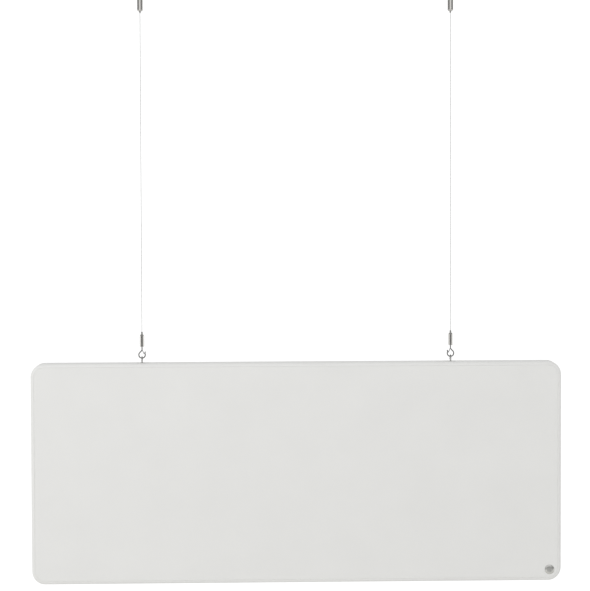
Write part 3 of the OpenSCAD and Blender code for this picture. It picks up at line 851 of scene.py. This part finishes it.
def screw_tree():
    """The frame screws: three heads up along the top rail, three heads down along the bottom."""
    sizes = {"Reach": 0.5, "Top": 0.0, "Bottom": -0.5, "Row": 3}
    tree, given = new_node_tree("frame_screws", sizes)
    reach, screw = given.outputs["Reach"], given.outputs[0]
    back = add(tree, "ShaderNodeMath", {0: reach, 1: -1}, operation="MULTIPLY")
    both = add(tree, "GeometryNodeJoinGeometry")
    for level, turn in (("Top", 0), ("Bottom", math.pi)):
        start = add(tree, "ShaderNodeCombineXYZ", {"X": back, "Z": given.outputs[level]})
        end = add(tree, "ShaderNodeCombineXYZ", {"X": reach, "Z": given.outputs[level]})
        inputs = {"Count": given.outputs["Row"], "Start Location": start, "Offset": end}
        line = add(tree, "GeometryNodeMeshLine", inputs, mode="END_POINTS")
        inputs = {"Points": line, "Instance": screw, "Rotation": (turn, 0, 0)}
        row = add(tree, "GeometryNodeInstanceOnPoints", inputs)
        tree.links.new(row.outputs[0], both.inputs[0])
    end_node_tree(tree, both, "turned_steel")
    return tree


# Operators, one for each piece or group of like pieces


class StudioOperator(bpy.types.Operator):
    """Set up the camera, the soft light and the pale floor"""

    bl_idname = "acoustic_panel.studio"
    bl_label = "Studio"

    def execute(self, context):
        studio = context.scene.panel_studio
        self.add_camera(context.scene, studio)
        self.add_world(context.scene)
        self.add_softbox()
        self.add_floor(studio)
        context.scene.view_settings.view_transform = "Standard"
        return {"FINISHED"}

    def add_camera(self, scene, studio):
        """The camera that took the photograph, whose picture was cropped at the top."""
        data = bpy.data.cameras.new("camera")
        data.sensor_width = 36
        data.lens = studio.focal_length
        data.shift_y = -studio.crop
        data.clip_end = 50
        camera = bpy.data.objects.new("camera", data)
        scene.collection.objects.link(camera)
        place = Vector((-studio.left, -FACE_DEPTH - studio.distance, -studio.drop))
        camera.matrix_world = (
            Matrix.Translation(place)
            @ Matrix.Rotation(-studio.yaw, 4, "Z")
            @ Matrix.Rotation(math.pi / 2 - studio.pitch, 4, "X")
            @ Matrix.Rotation(-studio.roll, 4, "Z")
        )
        scene.camera = camera

    def add_world(self, scene):
        """White backdrop, and a pale studio that the part is lit by and mirrors.

        Mirrored and at the camera's height, it is dark round the camera and pale beside it. Above
        that it is pale over the camera and dark to the sides, where flags hang. Below, it is pale
        but for a dimmer stand under the camera. Overhead it is dark in front and pale behind, and
        behind the part it is dark below the horizon and pale above.
        """
        world = bpy.data.worlds.new("studio")
        world.use_nodes = True
        scene.world = world
        tree = world.node_tree
        tree.nodes.clear()
        way = add(tree, "ShaderNodeTexCoord").outputs["Generated"]
        axes = add(tree, "ShaderNodeSeparateXYZ", {0: way})
        under_camera, backdrop = (0.25, -0.93, -0.26), 1.1
        near = add(tree, "ShaderNodeVectorMath", {0: way, 1: under_camera}, operation="DOT_PRODUCT")
        light = {"Y": axes.outputs["Y"], "Z": axes.outputs["Z"], "near": near.outputs["Value"]}
        # what each zone is called, what it follows, from where to where, and the strength or
        # zone at both ends
        zones = (
            ("soft", "Z", 0.05, 0.9, 0.87, 0.7),
            ("beside camera", "Y", -0.4, -0.7, 1.15, 0.13),
            ("above camera", "Y", -0.72, -0.92, 0.25, 0.9),
            ("front", "Z", -0.03, 0.05, "beside camera", "above camera"),
            ("below camera", "near", 0.93, 0.985, 1.0, 0.5),
            ("whole front", "Z", -0.15, -0.23, "front", "below camera"),
            ("overhead", "Y", 0.2, 0.6, 0.3, 1.1),
            ("behind", "Z", -0.05, 0.05, 0.2, 1.1),
            ("around", "Y", 0.6, 0.85, "whole front", "behind"),
            ("mirrored", "Z", 0.4, 0.6, "around", "overhead"),
        )
        for name, follows, start, end, first, second in zones:
            inputs = {0: light[follows], "From Min": start, "From Max": end}
            ramp = add(tree, "ShaderNodeMapRange", inputs, interpolation_type="SMOOTHSTEP")
            inputs = {0: ramp, 2: light.get(first, first), 3: light.get(second, second)}
            light[name] = add(tree, "ShaderNodeMix", inputs, data_type="FLOAT")
        path, seen = add(tree, "ShaderNodeLightPath"), light["soft"]
        for ray, strength in (("Is Glossy Ray", light["mirrored"]), ("Is Camera Ray", backdrop)):
            inputs = {0: path.outputs[ray], 2: seen, 3: strength}
            seen = add(tree, "ShaderNodeMix", inputs, data_type="FLOAT")
        glow = add(tree, "ShaderNodeBackground", {"Color": (1, 1, 1, 1), "Strength": seen})
        add(tree, "ShaderNodeOutputWorld", {0: glow})

    def add_softbox(self):
        """One large soft light from the upper left in front, which no metal mirrors."""
        width, height, watts = 3.0, 2.4, 40
        place = Vector((-2.2, -3.4, 0.6))
        data = bpy.data.lights.new("softbox", "AREA")
        data.shape = "RECTANGLE"
        data.size, data.size_y = width, height
        data.energy = watts
        light = bpy.data.objects.new("softbox", data)
        bpy.context.collection.objects.link(light)
        light.location = place
        light.visible_glossy = False
        light.rotation_mode = "QUATERNION"
        light.rotation_quaternion = (PANEL_MIDDLE - place).to_track_quat("-Z", "Y")

    def add_floor(self, studio):
        """Pale matt floor, a room's height below the ceiling."""
        made, tree, shader = new_material("floor_paint", {"Roughness": 0.7})
        place = add(tree, "ShaderNodeTexCoord").outputs["Object"]
        mottle = add(tree, "ShaderNodeTexNoise", {"Vector": place, "Scale": 3, "Detail": 4})
        dress(tree, shader, (mottle, studio.floor_colour, faded(studio.floor_colour, 0.96)))
        half, z = studio.floor / 2, -studio.room
        corners = [(-half, -half, z), (half, -half, z), (half, half, z), (-half, half, z)]
        mesh = bpy.data.meshes.new("floor")
        mesh.from_pydata(corners, [], [(0, 1, 2, 3)])
        mesh.materials.append(made)
        floor = bpy.data.objects.new("floor", mesh)
        bpy.context.collection.objects.link(floor)


class RopesOperator(bpy.types.Operator):
    """Lay up the two stranded wire ropes and their ends inside the grippers"""

    bl_idname = "acoustic_panel.ropes"
    bl_label = "Wire ropes"

    def execute(self, context):
        rope = context.scene.panel_rope
        tree = rope_tree(rope)
        for side in SIDES:
            # the gripped ends reach out of the noses towards the free wire, which leans there
            reach = 0.2 * MM
            parts = {
                "wire": (f"{side}_wire", 0, 0),
                "wire_top_end": (f"{side}_upper_gripper", reach, 0),
                "wire_bottom_end": (f"{side}_hook", 0, reach),
            }
            for part, (rides, below, above) in parts.items():
                node = f"{side}_{part}"
                low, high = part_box(node)
                top, bottom = high.z + above, low.z - below
                sizes = {
                    "Length": top - bottom,
                    "Diameter": high.x - low.x,
                    "Lay": rope.lay,
                    "Start": -top,
                    "Strands": rope.strands,
                }
                mesh = grown(tree, f"{node}_rope", sizes)
                mesh.transform(side_place(side, top))
                made = piece(
                    f"{node}_rope", mesh, "rope_steel", rides, [node], sharp=60
                )
        return {"FINISHED"}


class CoverOperator(bpy.types.Operator):
    """Sew the fabric cover: front, back and the band round the edge"""

    bl_idname = "acoustic_panel.cover"
    bl_label = "Fabric cover"

    # across half a seam: how far out, and how much of the seam's depth the cloth dips there
    SLOPE = ((0, 1), (0.25, 0.62), (0.5, 0.28), (0.75, 0.07), (1, 0))
    # how far each cloth ends from the middle of the seam
    GAP = 0.03 * MM

    def execute(self, context):
        cover = context.scene.panel_cover
        for name, side in (("front_cover", -1), ("back_cover", 1)):
            self.add_face(cover, name, side)
        self.add_band(cover)
        return {"FINISHED"}

    def finish_cloth(self, cover, node, verts, faces, cloth, flat):
        """A sheet of cloth with its map and its thickness."""
        name = f"{node}_cloth"
        mesh = bpy.data.meshes.new(name)
        mesh.from_pydata(verts, [], faces)
        places = mesh.uv_layers.new(name=CLOTH_MAP)
        places.data.foreach_set("uv", [v for face in cloth for pair in face for v in pair])
        outward = sum(f.normal.dot(f.center - PANEL_MIDDLE) * f.area for f in mesh.polygons)
        if outward < 0:
            mesh.flip_normals()
        made = piece(name, mesh, "woven_polyester", "panel", [node], sharp=80)
        wall = made.modifiers.new("cloth", "SOLIDIFY")
        wall.thickness = cover.cloth
        wall.offset = -1

    def add_face(self, cover, name, side):
        """One face: it dips into the seam at its edge and swells a little over the wadding."""
        seam, half = cover.edge - self.GAP, cover.seam_width
        profile = [(seam + half * t, FACE_DEPTH - cover.seam_depth * d) for t, d in self.SLOPE]
        for inset in (11, 13, 16, 20, 26, 34, 45, 60, 80, 105, 135, 165, 200):
            profile.append((inset * MM, FACE_DEPTH))
        profile.append((PANEL_SIZE[1] / 2 - MIDDLE_GAP, FACE_DEPTH))
        swell_width, waves = 130 * MM, 6.5

        def relief(x, y, z):
            inner = min(PANEL_SIZE[0] / 2 - abs(x), PANEL_SIZE[1] / 2 - abs(z)) - cover.edge
            t = max(0, min(1, inner / swell_width))
            swell = t * t * (3 - 2 * t)
            uneven = noise.noise(Vector((x, side, z)) * waves)
            return swell * cover.crown + min(1, 8 * t) * cover.ripple * uneven

        verts, faces, _ = ringed(PANEL_SIZE, cover.corner, profile, Vector(), False, True, relief)
        verts = [(x, side * y, z + PANEL_MIDDLE.z) for x, y, z in verts]
        cloth = [[(verts[i][0], verts[i][2]) for i in face] for face in faces]
        low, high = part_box(name)
        flat = (high.x - low.x, high.z - low.z)
        self.finish_cloth(cover, name, verts, faces, cloth, flat)

    def add_band(self, cover):
        """The band round the edge: from one seam, round the edge, to the other seam."""
        half = cover.seam_width
        front = []
        for t, d in self.SLOPE[:-1]:
            inset = cover.edge + self.GAP - half * t
            sunk = cover.edge - math.sqrt(cover.edge**2 - max(0, cover.edge - inset) ** 2)
            front.append((inset, FACE_DEPTH - sunk - cover.seam_depth * d))
        # the roundness starts a little past the seam's slope
        first, steps = math.asin(half / cover.edge) + 0.05, 10
        for k in range(steps + 1):
            turn = first + (math.pi / 2 - first) * k / steps
            inset = cover.edge * (1 - math.sin(turn))
            front.append((inset, FACE_DEPTH - cover.edge * (1 - math.cos(turn))))
        flat = FACE_DEPTH - cover.edge
        middle = [(0, flat * t) for t in (0.5, 0, -0.5)]
        profile = front + middle + [(inset, -depth) for inset, depth in reversed(front)]
        verts, faces, cloth = ringed(PANEL_SIZE, cover.corner, profile, PANEL_MIDDLE, False, False)
        straight = 2 * (sum(PANEL_SIZE) - 4 * cover.corner)
        around = straight + 2 * math.pi * cover.corner
        across = 2 * flat + math.pi * cover.edge
        self.finish_cloth(cover, "edge_band", verts, faces, cloth, (across, around))


class PaddingOperator(bpy.types.Operator):
    """Fill the panel: wadding under each face and felt cores between the timbers"""

    bl_idname = "acoustic_panel.padding"
    bl_label = "Wadding and cores"

    def execute(self, context):
        cover = context.scene.panel_cover
        corner = cover.corner - cover.edge
        for name in ("front_wadding", "back_wadding"):
            self.add_pad(name, corner, 2 * MM, "polyester_wadding", "wadding", 0.5)
        for name in ("left_core", "right_core"):
            self.add_pad(name, 3 * MM, 2.5 * MM, "mineral_felt", "core_felt", 0.9)
        return {"FINISHED"}

    def add_pad(self, node, corner, soft, look, slot, fill):
        """A soft board in the place of a CAD node, with its arrises rounded off."""
        low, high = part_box(node)
        centre = (low + high) / 2
        size = (high.x - low.x, high.z - low.z)
        half = (high.y - low.y) / 2
        arris = [
            (soft * (1 - math.sin(a)), half - soft * (1 - math.cos(a)))
            for a in [math.radians(v) for v in (0, 18, 36, 54, 72, 90)]
        ]
        face = [(v * MM, half) for v in (180, 140, 100, 70, 45, 25, 12, 6)]
        front = [(size[1] / 2 - MIDDLE_GAP, half)] + face + arris
        profile = front + [(inset, -depth) for inset, depth in reversed(front)]
        dip, dip_width, waves = 0.12 * MM, 60 * MM, 12

        def relief(x, y, z):
            inner = min(size[0] / 2 - abs(x), size[1] / 2 - abs(z))
            depth = dip * min(1, max(0, inner / dip_width))
            return -math.copysign(depth * (1 + noise.noise(Vector((x, y, z)) * waves)), y)

        verts, faces, _ = ringed(size, corner, profile, centre, True, True, relief)
        mesh = mesh_of(f"{node}_pad", verts, faces)
        made = piece(f"{node}_pad", mesh, look, "panel", [node], sharp=80)


class TimberOperator(bpy.types.Operator):
    """Finish the pine frame and drive its six wood screws"""

    bl_idname = "acoustic_panel.timber"
    bl_label = "Timber frame"

    def execute(self, context):
        looks = dict.fromkeys(("top_rail", "bottom_rail"), "pine_rails")
        looks |= dict.fromkeys(("left_stile", "centre_stile", "right_stile"), "pine_stiles")
        looks["badge_pin"] = "turned_steel"
        for node, look in looks.items():
            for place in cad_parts[node].material_slots:
                place.material = material(look)
        self.add_screws()
        return {"FINISHED"}

    def add_screws(self):
        """Countersunk wood screws with a cross recess, heads flush with the rails."""
        low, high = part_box("frame_screws")
        head, shank, length = (high.y - low.y) / 2, 2 * MM, 70 * MM
        neck = shank - head
        outline = [(0, 0, 0), (head, 0, 0.1 * MM), (shank, neck, 0), (0, neck - 1 * MM, 0)]
        depth, pitch, plain, point = 0.55 * MM, 1.8 * MM, 24 * MM, 6 * MM
        stem = threaded(shank, depth, pitch, -1.2 * MM, -length, plain, point)
        # the recess is wider above the head than at its bottom
        half, wide = 2.2 * MM, 0.45 * MM
        levels = ((1 * MM, 1.35), (-1.9 * MM, 0.45))
        verts = [
            (x * share, y * share, z)
            for z, share in levels
            for x, y in ((-half, -wide), (half, -wide), (half, wide), (-half, wide))
        ]
        faces = [(0, 1, 2, 3), (4, 5, 6, 7)]
        faces += [(i, (i + 1) % 4, (i + 1) % 4 + 4, i + 4) for i in range(4)]
        recess = [
            mesh_of("recess", verts, faces, Matrix.Rotation(turn, 4, "Z"))
            for turn in (0, math.pi / 2)
        ]
        top = mesh_of("head", *turned(outline, 48))
        whole = boolean("screw", top, [mesh_of("stem", *stem)], "UNION")
        whole = boolean("screw", whole, recess, "DIFFERENCE")
        sizes = {"Reach": high.x - head, "Top": high.z, "Bottom": low.z, "Row": 3}
        mesh = grown(screw_tree(), "frame_wood_screws", sizes, whole)
        piece("frame_wood_screws", mesh, "turned_steel", "panel", ["frame_screws"])


class BadgeOperator(bpy.types.Operator):
    """Turn the bare badge: a thin lip round a low dome with a flat middle"""

    bl_idname = "acoustic_panel.badge"
    bl_label = "Badge"

    def execute(self, context):
        low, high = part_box("badge")
        radius, thick = (high.x - low.x) / 2, high.y - low.y
        edge, inner = thick * 0.2, radius - context.scene.panel_badge.lip
        # the power keeps the middle flat and turns the dome down close to the lip
        power, rings = 4.7, 24
        dome = [
            (inner * t, thick - (thick - edge) * t**power, 0)
            for t in np.linspace(1, 0, rings, endpoint=False)
        ]
        rim = [(0, 0, 0), (radius, 0, 0), (radius, edge, 0.15 * MM)]
        place = Matrix.Translation(((low.x + high.x) / 2, high.y, (low.z + high.z) / 2))
        place = place @ Matrix.Rotation(math.pi / 2, 4, "X")
        shape = [*rim, *dome, (0, thick, 0)]
        look, slot = "spun_aluminium", "badge_metal"
        turned_piece("badge", "disc", place, shape, look, "panel", 96, 50)
        return {"FINISHED"}


class EyeScrewsOperator(bpy.types.Operator):
    """Forge the two eye screws: ring, flared collar and threaded shank"""

    bl_idname = "acoustic_panel.eye_screws"
    bl_label = "Eye screws"

    def execute(self, context):
        hook = context.scene.panel_hook
        wire = hook.eye_wire / 2
        for side in SIDES:
            node = f"{side}_eye_screw"
            low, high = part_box(node)
            ring_radius = (high.y - low.y) / 2 - wire
            centre = high.z - wire - ring_radius
            ring = [
                (0, ring_radius * math.cos(a), centre + ring_radius * math.sin(a))
                for a in np.linspace(0, 2 * math.pi, 72, endpoint=False)
            ]
            collar, top = 2.4 * MM, BAND_HIGH.z
            foot = turned(
                [
                    (0, top, 0),
                    (collar, top, 0.15 * MM),
                    (collar, top + 0.45 * MM, 0.3 * MM),
                    (wire + 0.35 * MM, top + 0.9 * MM, 0.6 * MM),
                    (wire * 0.98, top + 1.9 * MM, 0.4 * MM),
                    (0, top + 2.1 * MM, 0),
                ],
                48,
            )
            depth, pitch, plain, point = 0.5 * MM, 1.8 * MM, 5 * MM, 6 * MM
            start, radius = top + 0.2 * MM, hook.eye_shank / 2
            shank = threaded(radius, depth, pitch, start, low.z, plain, point)
            meshes = [mesh_of("part", *foot), mesh_of("part", *shank)]
            whole = mesh_of("ring", *swept(ring, wire, 32, closed=True))
            mesh = boolean(f"{node}_forging", whole, meshes, "UNION")
            mesh.transform(side_place(side))
            piece(f"{node}_forging", mesh, "zinc_plate", "panel", [node])
        return {"FINISHED"}


class HooksOperator(bpy.types.Operator):
    """Bend the two hooks and their spring gates"""

    bl_idname = "acoustic_panel.hooks"
    bl_label = "Hooks and gates"

    def execute(self, context):
        hook = context.scene.panel_hook
        for side in SIDES:
            self.add_hook(hook, side)
            self.add_gate(hook, side)
        return {"FINISHED"}

    def add_hook(self, hook, side):
        """Stem, bend, open loop and flared tip, from one wire."""
        node = f"{side}_hook"
        low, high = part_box(node)
        loop_z = low.z + hook.loop + hook.wire / 2
        sine, cosine = math.sin(hook.lean), math.cos(hook.lean)
        straight = (hook.loop * cosine - hook.bend * (1 - cosine)) / sine
        bend_z = loop_z + (hook.bend + hook.loop) * sine + straight * cosine
        rounded = hook.wire / 2
        steps = [
            (high.z - rounded - bend_z, None),
            (hook.bend, -hook.lean),
            (straight, None),
            (hook.loop, math.pi + hook.lean + hook.mouth),
            (hook.flare, -hook.flare_angle),
        ]
        line = bent_line((0, high.z - rounded), -math.pi / 2, steps)
        mesh = mesh_of(f"{node}_wire", *swept(line, hook.wire / 2, 32), side_place(side))
        piece(f"{node}_wire", mesh, "stainless_wire", f"{side}_hook", [node], sharp=60)

    def add_gate(self, hook, side):
        """A closed bail of spring wire that leans from the stem to the tip."""
        node = f"{side}_gate"
        low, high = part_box(node)
        wire = hook.gate_wire / 2
        half, wide = high.y - wire, high.x - low.x - 2 * wire
        lean = math.atan2(wide, high.z - low.z - 2 * wire)
        run = math.hypot(wide, high.z - low.z - 2 * wire)
        corner = 0.7 * MM
        bail = [(half, 0), (half, -run), (-half, -run), (-half, 0)]
        outline = softened([(*place, corner) for place in bail])
        line = [(0, y, z) for y, z in outline]
        place = (
            side_place(side)
            @ Matrix.Translation((0, 0, high.z - wire))
            @ Matrix.Rotation(-lean, 4, "Y")
        )
        mesh = mesh_of(f"{node}_bail", *swept(line, wire, 16, closed=True), place)
        piece(f"{node}_bail", mesh, "spring_steel", node, [node], sharp=60)


class GrippersOperator(bpy.types.Operator):
    """Turn the four grippers: barrels, plungers, balls, springs and plugs"""

    bl_idname = "acoustic_panel.grippers"
    bl_label = "Grippers"

    def execute(self, context):
        gripper = context.scene.panel_gripper
        springs, balls = spring_tree(), ball_tree()
        for side in SIDES:
            for level in LEVELS:
                self.add_gripper(gripper, side, level, springs, balls)
            self.add_plug(side)
        return {"FINISHED"}

    def add_gripper(self, gripper, side, level, springs, balls):
        """One gripper, modelled nose down with the tip of its nose at height 0."""
        kind = f"{side}_{level}"
        upright = level == "upper"
        body = f"{side}_upper_gripper" if upright else f"{side}_hook"
        barrel_low, barrel_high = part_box(f"{kind}_barrel")
        plunger_low, plunger_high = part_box(f"{kind}_plunger")
        tip = plunger_low.z if upright else plunger_high.z
        place = side_place(side, tip, nose_up=not upright)
        nose = abs((barrel_low.z if upright else barrel_high.z) - tip)
        end = nose + barrel_high.z - barrel_low.z
        outer = (barrel_high.x - barrel_low.x) / 2
        bore, throat = gripper.bore / 2, gripper.throat / 2
        cone = nose + gripper.throat_length
        cone_end = cone + (bore - throat) / math.tan(gripper.cone_angle)
        # the upper barrels end nearly square, the lower ones in a plain cone
        shoulder = [(outer - 1.6 * MM, nose + 0.1 * MM, 0.9 * MM)] if upright else []
        taper = gripper.taper * (0.7 if upright else 1)
        shape = [
            (throat, nose, 0.15 * MM),
            (gripper.mouth / 2, nose, 0.3 * MM),
            *shoulder,
            (outer, nose + taper, 0.5 * MM),
            (outer, end, 0.5 * MM),
            (bore, end, 0.15 * MM),
            (bore, cone_end, 0),
            (throat, cone, 0),
        ]
        node = f"{kind}_barrel"
        turned_piece(node, "tube", place, shape, "polished_nickel", body, 96)
        self.add_plunger(gripper, kind, place, plunger_high.z - plunger_low.z)
        self.add_spring(kind, side, body, springs, place.translation.x)
        self.add_balls(kind, side, balls)

    def add_spring(self, kind, side, body, springs, x):
        """Spring that the plunger's flange squeezes against the plug."""
        low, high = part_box(f"{kind}_spring")
        wire, travel, long = 0.3 * MM, 2 * MM, high.z - low.z
        sizes = {
            "Height": long - 2 * wire,
            "Coil Radius": (high.x - low.x) / 2 - wire,
            "Wire Radius": wire,
            "Turns": SPRING_TURNS,
        }
        name = f"{kind}_spring_coil"
        mesh = grown(springs, name, sizes)
        mesh.transform(side_place(side, low.z + wire))
        made = piece(name, mesh, "spring_steel", body, [f"{kind}_spring"], 60)
        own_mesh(made)

    def add_balls(self, kind, side, balls):
        """Locking balls in the plunger's pockets."""
        low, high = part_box(f"{kind}_balls")
        radius = (high.z - low.z) / 2
        # three places evenly round a circle span 1.5 times its radius
        circle = (high.x - low.x - 2 * radius) / 1.5
        name = f"{kind}_ball_set"
        mesh = grown(balls, name, {"Circle": circle, "Ball Radius": radius, "Balls": BALLS})
        mesh.transform(side_place(side, (low.z + high.z) / 2))
        rides = f"{kind}_plunger"
        piece(name, mesh, "spring_steel", rides, [f"{kind}_balls"], sharp=60)

    def add_plunger(self, gripper, kind, place, length):
        """Sleeve with a tapered tip, ball pockets and the spring's flange."""
        tip, sleeve = gripper.plunger_tip / 2, gripper.plunger / 2
        hole, flange = gripper.rope_hole / 2, gripper.bore / 2 - 0.3 * MM
        thick, reach = 1 * MM, 4 * MM
        shape = turned(
            [
                (hole, 0, 0.15 * MM),
                (tip, 0, 0.25 * MM),
                (sleeve, 2 * MM, 0.6 * MM),
                (sleeve, length - thick, 0),
                (flange, length - thick, 0.1 * MM),
                (flange, length, 0.1 * MM),
                (hole, length, 0.1 * MM),
            ]
        )
        low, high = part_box(f"{kind}_balls")
        middle = abs((low.z + high.z) / 2 - place.translation.z)
        pocket = (high.z - low.z) / 2 + PLAY
        rod = turned([(0, 0, 0), (pocket, 0, 0), (pocket, reach, 0), (0, reach, 0)], 32)
        tools = []
        for k in range(BALLS):
            turn = (
                Matrix.Translation((0, 0, middle))
                @ Matrix.Rotation(2 * math.pi * k / BALLS, 4, "Z")
                @ Matrix.Rotation(math.pi / 2, 4, "Y")
            )
            tools.append(mesh_of("pocket", *rod, turn))
        node, name = f"{kind}_plunger", f"{kind}_plunger_sleeve"
        mesh = boolean(name, mesh_of("sleeve", *shape), tools, "DIFFERENCE")
        mesh.transform(place)
        piece(name, mesh, "turned_steel", node, [node])

    def add_plug(self, side):
        """Plug that closes a lower barrel and holds the hook's stem."""
        node = f"{side}_hook_plug"
        low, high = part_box(node)
        stem = bpy.context.scene.panel_hook.wire / 2 + PLAY
        stem_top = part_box(f"{side}_hook")[1].z + PLAY
        outer = (high.x - low.x) / 2
        shape = [
            (stem, low.z, 0.1 * MM),
            (outer, low.z, 0.2 * MM),
            (outer, high.z, 0.2 * MM),
            (0, high.z, 0),
            (0, stem_top, 0),
            (stem, stem_top, 0),
        ]
        place, body = side_place(side), f"{side}_hook"
        turned_piece(node, "disc", place, shape, "polished_nickel", body)


class CeilingOperator(bpy.types.Operator):
    """Turn the ceiling bases, their caps and the ball studs"""

    bl_idname = "acoustic_panel.ceiling_fittings"
    bl_label = "Ceiling fittings"

    def execute(self, context):
        for side in SIDES:
            self.add_base(side)
            self.add_cap(side)
            self.add_stud(context.scene.panel_gripper, side)
        return {"FINISHED"}

    def add_base(self, side):
        """Disc with a countersunk hole and a skirt that the cap screws on."""
        node = f"{side}_ceiling_base"
        low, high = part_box(node)
        disc, skirt = (high.x - low.x) / 2, 6.9 * MM
        thick, inner, hole, sink = 4 * MM, 5.2 * MM, 2.5 * MM, 4.7 * MM
        under = high.z - thick
        shape = [
            (hole, high.z, 0.2 * MM),
            (disc, high.z, 0.4 * MM),
            (disc, under, 1 * MM),
            (skirt, under, 0.1 * MM),
            (skirt, low.z, 0.2 * MM),
            (inner, low.z, 0.2 * MM),
            (inner, under, 0.1 * MM),
            (sink, under, 0.1 * MM),
            (hole, under + sink - hole, 0),
        ]
        place = side_place(side)
        turned_piece(node, "disc", place, shape, "polished_nickel", "ceiling", 96)

    def add_cap(self, side):
        """Cap with a grip of fine flutes, bored for the skirt and the ball."""
        node = f"{side}_ceiling_cap"
        low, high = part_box(node)
        outer, skirt, socket, lip = (high.x - low.x) / 2, 6.95 * MM, 4.6 * MM, 3.487 * MM
        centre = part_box(f"{side}_ball_stud")[1].z - STUD_BALL
        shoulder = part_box(f"{side}_ceiling_base")[0].z
        bowl = [
            (socket * math.cos(a), centre + socket * math.sin(a), 0)
            for a in np.linspace(0, -math.acos(lip / socket), 9)
        ]
        # the flutes start and end softly, on rings of their own, above the rounded bottom
        rounded, flutes, flute_depth = 2.6 * MM, 48, 0.25 * MM
        grip = [
            (outer, high.z - t * (high.z - low.z - rounded), 0)
            for t in (0.1, 0.14, 0.18, 0.22, 0.78, 0.82, 0.86, 0.9)
        ]
        shape = [
            (skirt, high.z, 0.15 * MM),
            (outer, high.z, 0.4 * MM),
            *grip,
            (outer, low.z, 2 * MM),
            (lip + 0.6 * MM, low.z, 0.2 * MM),
            *reversed(bowl),
            (socket, shoulder, 0.1 * MM),
            (skirt, shoulder, 0),
        ]
        cut = (grip[-2][1], grip[1][1], flutes, flute_depth)
        look, place = "polished_nickel", side_place(side)
        turned_piece(node, "cup", place, shape, look, "ceiling", 192, 50, cut)

    def add_stud(self, gripper, side):
        """Ball, neck and the plug that closes the upper barrel."""
        node = f"{side}_ball_stud"
        low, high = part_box(node)
        centre = high.z - STUD_BALL
        neck, plug = 1.8 * MM, gripper.bore / 2 - PLAY
        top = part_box(f"{side}_upper_barrel")[1].z
        sphere = [
            (STUD_BALL * math.cos(a), centre + STUD_BALL * math.sin(a), 0)
            for a in np.linspace(-math.acos(neck / STUD_BALL), math.pi / 2, 24)
        ]
        sphere[-1] = (0, high.z, 0)
        shape = [
            *sphere,
            (0, low.z, 0),
            (plug, low.z, 0.3 * MM),
            (plug, top, 0.3 * MM),
            (neck, top, 0.5 * MM),
        ]
        place, body = side_place(side), f"{side}_upper_gripper"
        turned_piece(node, "turning", place, shape, "turned_steel", body, 96, 40)


OPERATORS = (
    StudioOperator,
    RopesOperator,
    CoverOperator,
    PaddingOperator,
    TimberOperator,
    BadgeOperator,
    EyeScrewsOperator,
    HooksOperator,
    GrippersOperator,
    CeilingOperator,
)


class PanelSidebar(bpy.types.Panel):
    """Sizes, colours and the buttons that make the pieces"""

    bl_idname = "VIEW3D_PT_acoustic_panel"
    bl_label = "Acoustic Panel"
    bl_space_type = "VIEW_3D"
    bl_region_type = "UI"
    bl_category = "Acoustic Panel"

    def draw(self, context):
        for group in SETTINGS:
            box = self.layout.box()
            settings = getattr(context.scene, group)
            for name in settings.bl_rna.properties.keys():
                if name not in ("rna_type", "name"):
                    box.prop(settings, name)
        for operator in OPERATORS:
            self.layout.operator(operator.bl_idname)


def register():
    """Registers the settings, the operators and the sidebar."""
    for name, group in SETTINGS.items():
        bpy.utils.register_class(group)
        setattr(bpy.types.Scene, name, bpy.props.PointerProperty(type=group))
    for operator in OPERATORS:
        bpy.utils.register_class(operator)
    bpy.utils.register_class(PanelSidebar)


def unregister():
    """Takes the sidebar, the operators and the settings out again."""
    bpy.utils.unregister_class(PanelSidebar)
    for operator in reversed(OPERATORS):
        bpy.utils.unregister_class(operator)
    for name, group in reversed(SETTINGS.items()):
        delattr(bpy.types.Scene, name)
        bpy.utils.unregister_class(group)


def main():
    """Makes every piece in order."""
    register()
    for operator in OPERATORS:
        space, name = operator.bl_idname.split(".")
        getattr(getattr(bpy.ops, space), name)()


if __name__ == "__main__":
    main()
